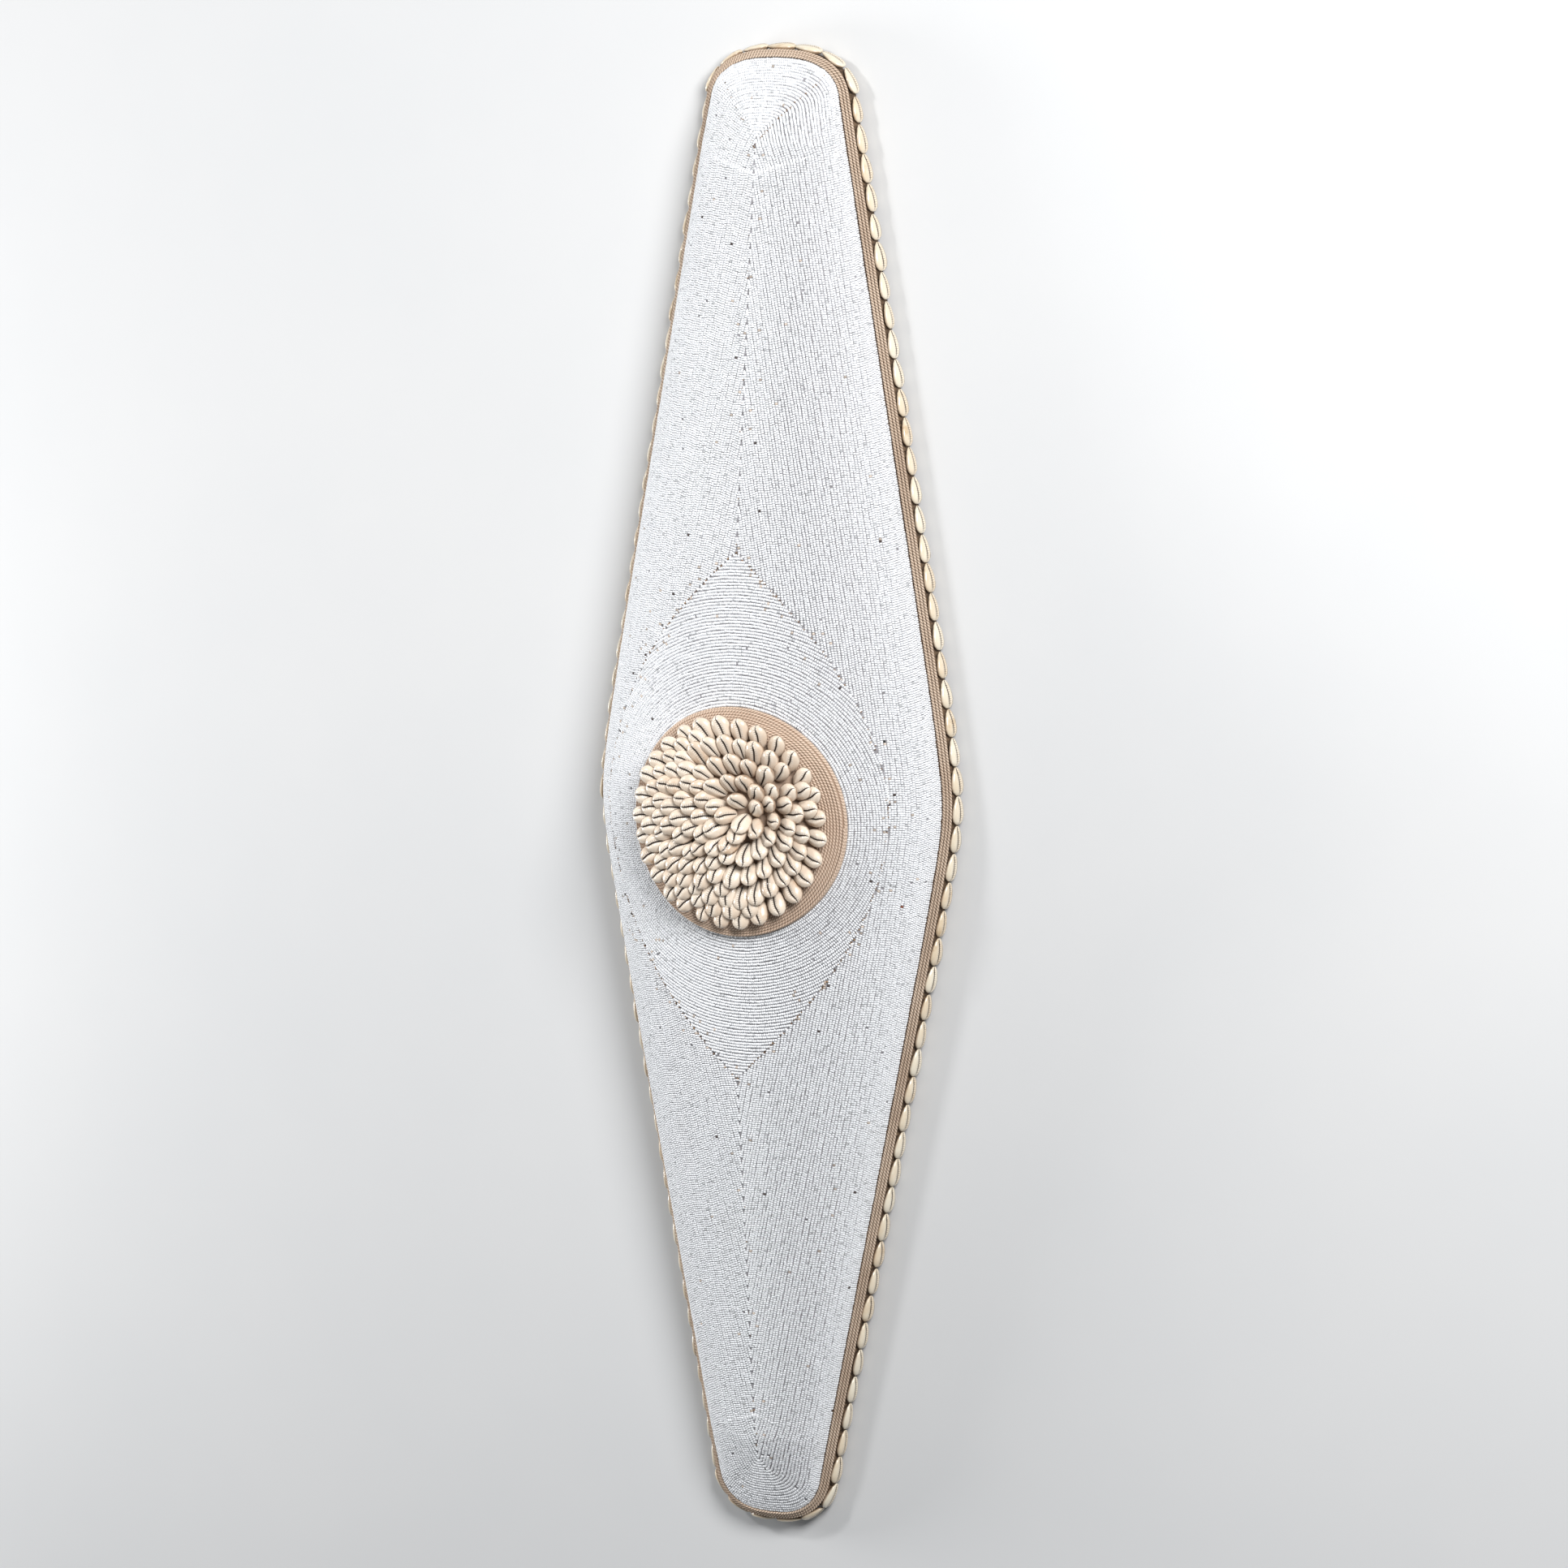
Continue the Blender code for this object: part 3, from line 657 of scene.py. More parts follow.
def cowrie_finish(name, cream, beige, amber, lip_share):
    """Shell with a toothed slit and pale lips, painted shade deep in the slit and painted dark brown
    shade on the flanks turned from view, its tint its own.
    """
    material = bpy.data.materials.new(name)
    tree, shader = node_sheet(material)
    place = object_place(tree)
    tone = read_attribute(tree, "shell_tone")
    across = read_attribute(tree, "shell_across")
    along = read_attribute(tree, "shell_along")
    cloud = mottle(tree, place, 130.0, 0.3, 0.7)
    colour = blend(tree, number(tree, "MULTIPLY_ADD", cloud, 0.40, number(tree, "MULTIPLY", tone, 0.6)),
                   cream, beige)
    stain = number(tree, "MULTIPLY", mottle(tree, place, 60.0, 0.55, 0.70),
                   between(tree, tone, 0.55, 0.9))
    colour = blend(tree, number(tree, "MULTIPLY", stain, 0.7), colour, amber)
    lips = number(tree, "SUBTRACT", 1.0, between(tree, across, 0.06, 0.18))
    colour = blend(tree, number(tree, "MULTIPLY", lips, lip_share), colour, (0.93, 0.86, 0.76))
    # Painted shade: past the shell's equator the colour turns dark brown, standing in for the contact
    # shadows between shells.
    shaded_flank = between(tree, across, 0.37, 0.58)
    colour = blend(tree, number(tree, "MULTIPLY", shaded_flank, 0.76), colour, (0.24, 0.13, 0.065))
    teeth = number(tree, "SINE", number(tree, "MULTIPLY", along, 2 * math.pi * 13.0))
    near_slit = number(tree, "SUBTRACT", 1.0, between(tree, across, 0.06, 0.12))
    tooth = number(tree, "MULTIPLY", between(tree, teeth, 0.2, 0.8),
                   number(tree, "MULTIPLY", near_slit, between(tree, along, 0.06, 0.14)))
    colour = blend(tree, number(tree, "MULTIPLY", tooth, 0.55), colour, (0.30, 0.19, 0.11))
    # Painted shade: the middle of the slit is painted near black for the shade deep inside the shell.
    in_slit = number(tree, "SUBTRACT", 1.0, between(tree, across, 0.016, 0.040))
    gap = number(tree, "MULTIPLY", in_slit, between(tree, along, 0.03, 0.10))
    colour = blend(tree, gap, colour, (0.030, 0.018, 0.013))
    tree.links.new(colour, shader.inputs["Base Color"])
    rough = number(tree, "MULTIPLY_ADD", gap, 0.6, number(tree, "MULTIPLY_ADD", cloud, 0.10, 0.20))
    tree.links.new(rough, shader.inputs["Roughness"])
    shader.inputs["Coat Weight"].default_value = 0.35
    shader.inputs["Coat Roughness"].default_value = 0.12
    raise_bumps(tree, shader, number(tree, "SUBTRACT", 1.0, tooth), 0.35, 0.0004)
    return material


def fibre_finish():
    material = bpy.data.materials.new("brown_side_fibre")
    tree, shader = node_sheet(material)
    strand = read_attribute(tree, "strand")
    place = object_place(tree, (1.0, 1.0, 0.25))
    hair = mottle(tree, place, 1500.0, 0.3, 0.7)
    colour = blend(tree, hair, (0.035, 0.022, 0.014), (0.20, 0.12, 0.07))
    colour = blend(tree, number(tree, "MULTIPLY", strand, 0.45), colour, (0.33, 0.22, 0.13))
    tree.links.new(colour, shader.inputs["Base Color"])
    shader.inputs["Roughness"].default_value = 0.95
    raise_bumps(tree, shader, hair, 0.7, 0.0006)
    return material


def board_finish():
    """Bare carved wood at the back, tooled lengthwise."""
    material = bpy.data.materials.new("carved_back_wood")
    tree, shader = node_sheet(material)
    grain = mottle(tree, object_place(tree, (1.0, 0.06, 1.0)), 210.0, 0.3, 0.7)
    streak = mottle(tree, object_place(tree, (1.0, 0.10, 1.0)), 40.0, 0.35, 0.65)
    gouge = add(tree, "ShaderNodeTexVoronoi", feature="SMOOTH_F1", Scale=34.0, Smoothness=0.6)
    tree.links.new(object_place(tree, (2.2, 0.55, 1.0)), gouge.inputs["Vector"])
    colour = blend(tree, streak, (0.14, 0.075, 0.038), (0.25, 0.145, 0.075))
    colour = blend(tree, number(tree, "MULTIPLY", grain, 0.5), colour, (0.075, 0.040, 0.022))
    tree.links.new(colour, shader.inputs["Base Color"])
    rough = number(tree, "MULTIPLY_ADD", grain, 0.2, 0.55)
    tree.links.new(rough, shader.inputs["Roughness"])
    height = number(tree, "MULTIPLY_ADD", grain, 0.25, gouge.outputs["Distance"])
    raise_bumps(tree, shader, height, 0.6, 0.0012)
    return material


def floor_finish():
    material = bpy.data.materials.new("pale_floor")
    tree, shader = node_sheet(material)
    cloud = mottle(tree, object_place(tree), 3.0, 0.2, 0.8)
    colour = blend(tree, cloud, (0.67, 0.675, 0.68), (0.70, 0.70, 0.70))
    tree.links.new(colour, shader.inputs["Base Color"])
    shader.inputs["Roughness"].default_value = 0.85
    return material


beads_finish = glass_bead_finish()
cowrie_boss = cowrie_finish("boss_cowrie_shell", cream=(0.89, 0.78, 0.65), beige=(0.74, 0.58, 0.44),
                            amber=(0.52, 0.29, 0.12), lip_share=0.50)
cowrie_edge = cowrie_finish("edge_cowrie_shell", cream=(0.84, 0.77, 0.63), beige=(0.72, 0.58, 0.41),
                            amber=(0.50, 0.32, 0.14), lip_share=0.15)
# The last colour of each jute is the dark of both its fibre flecks and its painted groove shade.
edge_jute = jute_finish("edge_jute", (0.80, 0.64, 0.50), (0.63, 0.48, 0.36), (0.17, 0.105, 0.065))
disc_jute = jute_finish("disc_jute", (0.84, 0.66, 0.52), (0.73, 0.555, 0.425), (0.27, 0.17, 0.11))


# Bead cover

BEAD_WHITE = (0.885, 0.895, 0.915)
RUSTY_BEAD = np.array((0.66, 0.56, 0.48))
DARK_BEAD = (0.07, 0.05, 0.045)
TINT_STRAY, TINT_RANGE = 0.035, (0.85, 1.06)
GREYED_TINTS, RUSTY_TINTS = (0.62, 0.85), (0.6, 1.2)
GREYED_SHARE = 0.03
RUSTY_SHARE, RUSTY_AT_SEAM = 0.001, 0.035
DARK_SHARE, DARK_AT_SEAM = 0.0003, 0.003
MISSING_SHARE, MISSING_AT_SEAM = 0.0008, 0.005
SEAM_REACH = 0.006
RIDGE_CALM = 0.008
RIDGE_ROOM = 0.68
BACKING_DEPTHS = (0.00125, 0.00190)
BACKING_STATIONS, BACKING_COLUMNS = 161, 41
BACKING_INSET = 0.0005
BACKING_NORMAL_INSET = (0.98, 0.995)
STITCH_PITCH = 0.0013
STITCH_STRAY = 0.00035
STITCH_LINE_STRAY = 0.00030
STITCH_SINK = 0.00072
STITCH_LENGTHS, STITCH_WIDTHS = (0.0009, 0.0016), (0.0005, 0.0008)
STITCH_HEIGHT = 0.0012
STITCH_HEADING_RUN = 0.0004
MITRE_CORNER_SHARE = 0.84
MITRE_CORNER_INSET = 0.012
# A black bead and a red-brown one stand out by the right seam of the eye
ODD_BEADS = ((np.array((0.1041, 0.0509)), (0.02, 0.02, 0.02)),
             (np.array((0.1123, -0.0665)), (0.25, 0.07, 0.03)))


def stamp_beads(name, spots, headings, seam, node):
    """One piece of sewn beads at the given spots, each a little out of line."""
    count = len(spots)
    normal = dome_normals(spots[:, 0], spots[:, 1])
    heading = headings - normal * (headings * normal).sum(axis=1, keepdims=True)
    heading /= np.linalg.norm(heading, axis=1, keepdims=True)
    across = np.cross(normal, heading)
    turn = rng.normal(0.0, BEAD_TURN_STRAY, count)[:, None]
    heading, across = (heading * np.cos(turn) + across * np.sin(turn),
                       across * np.cos(turn) - heading * np.sin(turn))
    size = np.stack((rng.normal(BEAD_LENGTH, BEAD_STRAY, count),
                     rng.normal(BEAD_WIDTH, BEAD_STRAY, count),
                     np.full(count, BEAD_HEIGHT)), axis=-1)
    sink = BEAD_HEIGHT / 2 + rng.uniform(0.0, BEAD_SINK_STRAY, count)
    centre = spots - normal * sink[:, None] + across * rng.normal(0.0, BEAD_STRAY, count)[:, None]
    axes = np.stack((heading, across, normal), axis=1)
    piece = new_piece(name, copy_points(bead_shape, centre, axes, size),
                      copy_quads(bead_shape, bead_faces, count), beads_finish, (node,))
    tint = np.array(BEAD_WHITE) * np.clip(rng.normal(1.0, TINT_STRAY, (count, 1)), *TINT_RANGE)
    closeness = np.exp(-seam / SEAM_REACH)
    greyed = rng.random(count) < GREYED_SHARE
    tint[greyed] *= rng.uniform(*GREYED_TINTS, (greyed.sum(), 1))
    rusty = rng.random(count) < RUSTY_SHARE + RUSTY_AT_SEAM * closeness
    tint[rusty] = RUSTY_BEAD * rng.uniform(*RUSTY_TINTS, (rusty.sum(), 1))
    dark = rng.random(count) < DARK_SHARE + DARK_AT_SEAM * closeness
    tint[dark] = DARK_BEAD
    for odd_place, odd_tint in ODD_BEADS:
        gap = np.linalg.norm(spots[:, :2] - odd_place, axis=1)
        if gap.min() < ROW_PITCH:
            tint[gap.argmin()] = odd_tint
    point_colours(piece, "bead_tint", np.repeat(np.clip(tint, 0.0, 1.0), len(bead_shape), axis=0))


bead_shape, bead_faces = model_bead()
outline = flat_outline()


def disc_edge():
    """The boss disc's edge in the flat layout, counter-clockwise."""
    turn = np.linspace(0.0, 2 * math.pi, 600, endpoint=False)
    x = BOSS_CENTRE[0] + DISC_RADIUS * np.cos(turn)
    y = BOSS_CENTRE[1] + DISC_RADIUS * np.sin(turn)
    share = np.sign(x) * np.interp(np.abs(x) / half_width(y), REACH, GIRTHS)
    run = np.interp(y, RIDGE_Y, RIDGE_RUN)
    return np.stack((share * np.interp(run, RIDGE_RUN, RIDGE_GIRTH), run), axis=-1)


def ridge_rows():
    """Short rows along the ridge, where the innermost rows of the two sides leave room for one."""
    ends = np.interp((MITRE_BOTTOM, MITRE_TOP), RIDGE_Y, RIDGE_RUN)
    ridge = resample(np.array(((0.0, ends[0]), (0.0, ends[1]))), ROW_SAMPLE)
    depth = np.array([np.linalg.norm(outline - spot, axis=1).min() for spot in ridge])
    room = (depth / ROW_PITCH - 0.5) % 1.0
    keep = (room > RIDGE_ROOM) & (eye_depth(ridge) < -SEAM_CLEARANCE)
    keep[0] = False
    return broken_runs(ridge, keep, closed=False)


def make_bead_cover():
    depths = (np.arange(FIELD_ROWS) + 0.5) * ROW_PITCH
    runs = []
    for row in offset_rows(outline, depths, outward=False):
        if len(row) > 3:
            row = resample(row, ROW_SAMPLE, closed=True)
            runs += broken_runs(row, eye_depth(row) < -SEAM_CLEARANCE)
    field = bead_places(runs + ridge_rows())
    runs = []
    for row in offset_rows(resample(disc_edge(), EDGE_SAMPLE, closed=True),
                           (np.arange(EYE_ROWS) - 0.5) * ROW_PITCH, outward=True):
        if len(row) > 3:
            row = resample(row, ROW_SAMPLE, closed=True)
            runs += broken_runs(row, eye_depth(row) > SEAM_CLEARANCE)
    eye = bead_places(runs)
    for node, (spots, headings, flat) in (("bead_field", field), ("bead_eye", eye)):
        seam = np.abs(eye_depth(flat))
        if node == "bead_field":
            seam = np.minimum(seam, np.abs(flat[:, 0]) + RIDGE_CALM)
        kept = rng.random(len(spots)) > MISSING_SHARE + MISSING_AT_SEAM * np.exp(-seam / SEAM_REACH)
        upper, right = spots[:, 1] >= 0, spots[:, 0] >= 0
        if node == "bead_eye":
            groups = {"upper": upper, "lower": ~upper}
        else:
            groups = {"upper_right": upper & right, "upper_left": upper & ~right,
                      "lower_right": ~upper & right, "lower_left": ~upper & ~right}
        for label, chosen in groups.items():
            chosen = chosen & kept
            stamp_beads(node + "_rows_" + label, spots[chosen], headings[chosen], seam[chosen], node)


def make_backing():
    """Stiffened cloth that shows between the bead rows; its dark grey is partly the cloth and partly
    painted shade in the gaps.
    """
    last = COVER_HALF_LENGTH - BACKING_INSET
    ys = np.linspace(-last, last, BACKING_STATIONS)
    shares = np.linspace(-1.0, 1.0, BACKING_COLUMNS)
    face = np.array([dome_points(shares, np.full(BACKING_COLUMNS, y)) for y in ys])
    inner = face[..., :2] * BACKING_NORMAL_INSET
    normal = dome_normals(inner[..., 0], inner[..., 1])
    verts = np.concatenate([(face - normal * depth).reshape(-1, 3) for depth in BACKING_DEPTHS])
    top = np.arange(face[..., 0].size).reshape(face.shape[:2])
    under = top + top.size
    rim = np.concatenate((top[0, :-1], top[:-1, -1], top[-1, :0:-1], top[:0:-1, 0]))
    side = np.stack((rim, rim + top.size, np.roll(rim, -1) + top.size, np.roll(rim, -1)), axis=-1)
    face_up = np.stack((top[:-1, :-1], top[:-1, 1:], top[1:, 1:], top[1:, :-1]), axis=-1)
    face_down = np.stack((under[:-1, :-1], under[1:, :-1], under[1:, 1:], under[:-1, 1:]), axis=-1)
    quads = np.concatenate((face_up.reshape(-1, 4), face_down.reshape(-1, 4), side))
    new_piece("bead_backing_and_gap_shade", verts, quads, backing_and_gap_shade_finish())


def make_seam_threads():
    """Brown stitches that show along the eye's edge and where the rows of the two sides meet."""
    ys = EYE_CENTRE_Y + np.linspace(-EYE_HALF_LENGTH, EYE_HALF_LENGTH, 301)
    run_at = np.interp(ys, RIDGE_Y, RIDGE_RUN)
    corner = np.interp(COVER_HALF_LENGTH - MITRE_CORNER_INSET, RIDGE_Y, RIDGE_RUN)
    corner_girth = TOP_END_HALF_WIDTH * MITRE_CORNER_SHARE
    top_mitre, bottom_mitre = np.interp((MITRE_TOP, MITRE_BOTTOM), RIDGE_Y, RIDGE_RUN)
    lines = [(np.stack((eye_edge(ys), run_at), axis=-1), 0.42),
             (np.stack((-eye_edge(ys), run_at), axis=-1), 0.36),
             (np.array(((0.0, run_at[-1]), (0.0, top_mitre))), 0.05),
             (np.array(((0.0, bottom_mitre), (0.0, run_at[0]))), 0.05),
             (np.array(((0.0, top_mitre), (corner_girth, corner))), 0.40),
             (np.array(((0.0, top_mitre), (-corner_girth, corner))), 0.20)]
    spots, headings = [], []
    for line, shown in lines:
        line = resample(line, STITCH_PITCH)
        line = line[rng.random(len(line)) < shown] + rng.normal(0.0, STITCH_LINE_STRAY, (1, 2))
        line = line + rng.normal(0.0, STITCH_STRAY, line.shape)
        turn = rng.uniform(0.0, 2 * math.pi, len(line))
        nearby = line + STITCH_HEADING_RUN * np.stack((np.cos(turn), np.sin(turn)), axis=-1)
        spots.append(lay_on_dome(line))
        headings.append(lay_on_dome(nearby) - spots[-1])
    spots, headings = np.vstack(spots), np.vstack(headings)
    normal = dome_normals(spots[:, 0], spots[:, 1])
    heading = headings - normal * (headings * normal).sum(axis=1, keepdims=True)
    heading /= np.maximum(np.linalg.norm(heading, axis=1, keepdims=True), 1e-9)
    axes = np.stack((heading, np.cross(normal, heading), normal), axis=1)
    size = np.stack((rng.uniform(*STITCH_LENGTHS, len(spots)), rng.uniform(*STITCH_WIDTHS, len(spots)),
                     np.full(len(spots), STITCH_HEIGHT)), axis=-1)
    new_piece("seam_threads", copy_points(bead_shape, spots - normal * STITCH_SINK, axes, size),
              copy_quads(bead_shape, bead_faces, len(spots)), thread_finish())


make_bead_cover()
make_backing()
make_seam_threads()


# Cords

def plan_outline():
    """The bead cover's outline in plan, counter-clockwise from the bottom end."""
    right = np.stack((half_width(RIDGE_Y), RIDGE_Y), axis=-1)
    left = right[::-1][1:-1] * (-1.0, 1.0)
    return resample(np.vstack((right, left)), PLAN_SAMPLE, closed=True)


def offset_plan(loop, distance):
    ahead = np.roll(loop, -1, axis=0) - np.roll(loop, 1, axis=0)
    ahead /= np.linalg.norm(ahead, axis=1, keepdims=True)
    return loop + np.stack((ahead[:, 1], -ahead[:, 0]), axis=-1) * distance


def twist_cord(route, diameter, lay, closed, hidden, lobe=0.0):
    """A two-ply cord along a route: points, faces and the twist's phase at each point. The ring of
    points starts at the hidden side, given as an angle up from the outer side."""
    ahead = np.roll(route, -1, axis=0) - np.roll(route, 1, axis=0)
    if not closed:
        ahead[0], ahead[-1] = route[1] - route[0], route[-1] - route[-2]
    ahead /= np.linalg.norm(ahead, axis=1, keepdims=True)
    side = np.cross(ahead, (0.0, 0.0, 1.0))
    side /= np.linalg.norm(side, axis=1, keepdims=True)
    top = np.cross(side, ahead)
    step = np.linalg.norm(np.diff(route, axis=0), axis=1)
    run = np.concatenate(([0.0], np.cumsum(step)))
    whole = run[-1] + (np.linalg.norm(route[0] - route[-1]) if closed else 0.0)
    angle = hidden + 2 * math.pi * (np.arange(CORD_SIDES) + 0.5) / CORD_SIDES
    twist = 2 * (angle[None, :] - 2 * math.pi * round(whole / lay) * run[:, None] / whole)
    radius = diameter / 2 * (1.0 - lobe + lobe * np.abs(np.cos(twist / 2.0)))
    verts = (route[:, None, :] + side[:, None, :] * (radius * np.cos(angle))[..., None]
             + top[:, None, :] * (radius * np.sin(angle))[..., None])
    index = np.arange(len(route) * CORD_SIDES).reshape(len(route), CORD_SIDES)
    after = np.roll(index, -1, axis=0) if closed else index[1:]
    here = index if closed else index[:-1]
    quads = np.stack((here, after, np.roll(after, -1, axis=1), np.roll(here, -1, axis=1)), axis=-1)
    quads = quads.reshape(-1, 4)
    if not closed:
        cuts = np.array([(0, i, i + 1, i + 2) for i in range(1, CORD_SIDES - 2, 2)])
        quads = np.vstack((quads, index[0][cuts], index[-1][cuts[:, ::-1]]))
    return verts.reshape(-1, 3), quads, twist.ravel()


def make_edge_cords():
    loop = plan_outline()
    for index, label in enumerate(EDGE_CORDS):
        offset = FIRST_CORD_OFFSET + index * CORD_STEP * math.cos(CORD_SLOPE)
        level = RIM_LEVEL - FIRST_CORD_DROP - index * CORD_STEP * math.sin(CORD_SLOPE)
        route = offset_plan(loop, offset)
        route = np.column_stack((route, np.full(len(route), level)))
        route = resample(route, CORD_SAMPLE, closed=True)
        verts, quads, twist = twist_cord(route, CORD_DIAMETER * CORD_FULLNESS, CORD_LAY, True,
                                         CORD_HIDDEN_SIDE, CORD_LOBE)
        piece = new_piece("twisted_edge_cord_" + label, verts, quads, edge_jute,
                          ("edge_cord_" + label,))
        point_values(piece, "twist", twist)


def disc_top(x, y):
    away = np.hypot(x - BOSS_CENTRE[0], y - BOSS_CENTRE[1]) / DISC_RADIUS
    return (dome_height(x, y) + DISC_SEAT + DISC_THICKNESS
            + DISC_SWELL * np.maximum(1.0 - away * away, 0.0))


def make_boss_disc():
    """A low dome under a coil of fine twisted cord, with two more turns round its rim."""
    select_none()
    bpy.ops.mesh.primitive_uv_sphere_add(segments=60, ring_count=12, radius=1.0)
    ball, faces = take_mesh("disc_core")
    radius = (DISC_RADIUS - DISC_CORD * 0.8) * np.minimum(np.hypot(ball[:, 0], ball[:, 1]) * 1.02, 1.0)
    turn = np.arctan2(ball[:, 1], ball[:, 0])
    x = BOSS_CENTRE[0] + radius * np.cos(turn)
    y = BOSS_CENTRE[1] + radius * np.sin(turn)
    top = disc_top(x, y) - DISC_CORD * 0.75
    low = dome_height(x, y) + DISC_SEAT
    z = np.where(ball[:, 2] > 0.001, top, np.where(ball[:, 2] < -0.001, low, (top + low) / 2))
    core = new_piece("boss_disc_core", np.stack((x, y, z), axis=-1), faces, disc_jute,
                     ("boss_disc",))
    # At this fixed twist phase the whole core takes a share of the painted groove shade, so it is
    # darker throughout.
    point_values(core, "twist", np.full(len(x), CORE_SHADED_TWIST))

    angle = np.linspace(0.0, 2 * math.pi * DISC_COIL_TURNS, DISC_COIL_TURNS * 300)
    inward = DISC_CORD * (DISC_COIL_TURNS - angle / (2 * math.pi)) * DISC_CORD_SPACING
    radius = DISC_RADIUS - DISC_CORD / 2 - inward
    x = BOSS_CENTRE[0] + radius * np.cos(angle)
    y = BOSS_CENTRE[1] + radius * np.sin(angle)
    coil = np.stack((x, y, disc_top(x, y) - DISC_CORD * 0.5), axis=-1)
    cord = DISC_CORD * DISC_CORD_FULLNESS
    parts = [twist_cord(resample(coil, DISC_CORD_SAMPLE), cord, DISC_CORD_LAY, False, COIL_HIDDEN_SIDE)]
    ring = np.linspace(0.0, 2 * math.pi, 420, endpoint=False)
    x = BOSS_CENTRE[0] + (DISC_RADIUS - DISC_CORD / 2) * np.cos(ring)
    y = BOSS_CENTRE[1] + (DISC_RADIUS - DISC_CORD / 2) * np.sin(ring)
    for drop in DISC_RIM_DROPS:
        loop = np.stack((x, y, disc_top(x, y) - DISC_CORD * drop), axis=-1)
        loop = resample(loop, DISC_CORD_SAMPLE, closed=True)
        parts.append(twist_cord(loop, cord, DISC_CORD_LAY, True, RIM_HIDDEN_SIDE))
    starts = np.cumsum([0] + [len(points) for points, _, _ in parts])
    coil = new_piece("boss_disc_coil", np.vstack([points for points, _, _ in parts]),
                     np.vstack([quads + start for (_, quads, _), start in zip(parts, starts)]),
                     disc_jute, ("boss_disc",))
    point_values(coil, "twist", np.concatenate([twist for _, _, twist in parts]))


# Cowrie shells

def stamp_shells(name, shell, centres, axes, sizes, material, node):
    points, faces, facts = shell
    verts = copy_points(points, centres, axes, sizes)
    copies = [tuple(corner + copy * len(points) for corner in face)
              for copy in range(len(centres)) for face in faces]
    piece = new_piece(name, verts, copies, material, (node,))
    for label, values in facts.items():
        point_values(piece, label, np.tile(values, len(centres)))
    point_values(piece, "shell_tone", np.repeat(rng.random(len(centres)), len(points)))


def shell_places():
    """Plan places of the shells over the boss. The rings close in on the whorl's centre off the
    middle, each staggered against the last, and keep their number of shells until that is too
    crowded. A shell with no room left for it is skipped, and a gap that is left open gets one more."""
    outer, whorl = BOSS_CENTRE + OUTER_RING_SHIFT, BOSS_CENTRE + WHORL_SHIFT
    pitch = 2 * math.pi * OUTER_RING_RADIUS / OUTER_RING_SHELLS
    places = []
    count = OUTER_RING_SHELLS
    for ring in range(SHELL_RINGS):
        share = ring / (SHELL_RINGS - 1)
        radius = OUTER_RING_RADIUS + (INNER_RING_RADIUS - OUTER_RING_RADIUS) * share
        if 2 * math.pi * radius / count < pitch * CROWDED_SHARE:
            count = max(3, round(2 * math.pi * radius / pitch))
        centre = outer + (whorl - outer) * share
        for place in range(count):
            turn = math.pi + 2 * math.pi * (place + 0.5 * (ring % 2)) / count
            spot = centre + radius * np.array((math.cos(turn), math.sin(turn)))
            if all(np.linalg.norm(spot - other) > SHELL_SPACING for other in places):
                places.append(spot)
    places = np.array(places)
    steps = np.arange(-OUTER_RING_RADIUS, OUTER_RING_RADIUS, GAP_SEARCH_STEP)
    grid = np.stack(np.meshgrid(steps, steps), axis=-1).reshape(-1, 2)
    spare = outer + grid[np.linalg.norm(grid, axis=1) < OUTER_RING_RADIUS]
    room = np.linalg.norm(spare[:, None, :] - places[None, :, :], axis=-1).min(axis=1)
    while room.max() > GAP_SPACING:
        spot = spare[room.argmax()]
        places = np.vstack((places, spot))
        room = np.minimum(room, np.linalg.norm(spare - spot, axis=1))
    return whorl, places


def make_boss_cowries():
    whorl, places = shell_places()
    count = len(places)
    places = places + rng.normal(0.0, SHELL_PLACE_STRAY, places.shape)
    away = np.minimum(np.linalg.norm(places - whorl, axis=1) / OUTER_RING_RADIUS, 1.0)
    tilt = INNER_RING_TILT + (OUTER_RING_TILT - INNER_RING_TILT) * away
    tilt = tilt + rng.normal(0.0, SHELL_TILT_STRAY, count)
    normal = dome_normals(places[:, 0], places[:, 1])
    outward = np.column_stack((places - whorl, np.zeros(count)))
    outward -= normal * (outward * normal).sum(axis=1, keepdims=True)
    outward /= np.linalg.norm(outward, axis=1, keepdims=True)
    sway = rng.normal(0.0, SHELL_SWAY, count)[:, None]
    side = np.cross(normal, outward)
    outward, side = (outward * np.cos(sway) + side * np.sin(sway),
                     side * np.cos(sway) - outward * np.sin(sway))
    length_axis = outward * np.cos(tilt)[:, None] + normal * np.sin(tilt)[:, None]
    facing = np.cross(length_axis, side)
    reach = (np.sin(tilt) * SHELL_LENGTH + np.cos(tilt) * SHELL_DEPTH) / 2
    level = disc_top(places[:, 0], places[:, 1]) + reach / normal[:, 2] * SHELL_SINK
    centres = np.column_stack((places, level))
    size = rng.normal(1.0, SHELL_SIZE_STRAY, (count, 1)) * np.array(
        (SHELL_LENGTH, SHELL_WIDTH, SHELL_DEPTH)) / 2
    axes = np.stack((length_axis, side, facing), axis=1)
    stamp_shells("boss_cowrie_shells", boss_shell, centres, axes, size, cowrie_boss, "boss_cowries")


def stretch_of(spot):
    """Name of the stretch of the edge that a plan place lies on."""
    if abs(spot[1]) > COVER_HALF_LENGTH - END_STRETCH:
        return "top_end" if spot[1] > 0 else "bottom_end"
    return ("upper_" if spot[1] > 0 else "lower_") + ("right" if spot[0] > 0 else "left")


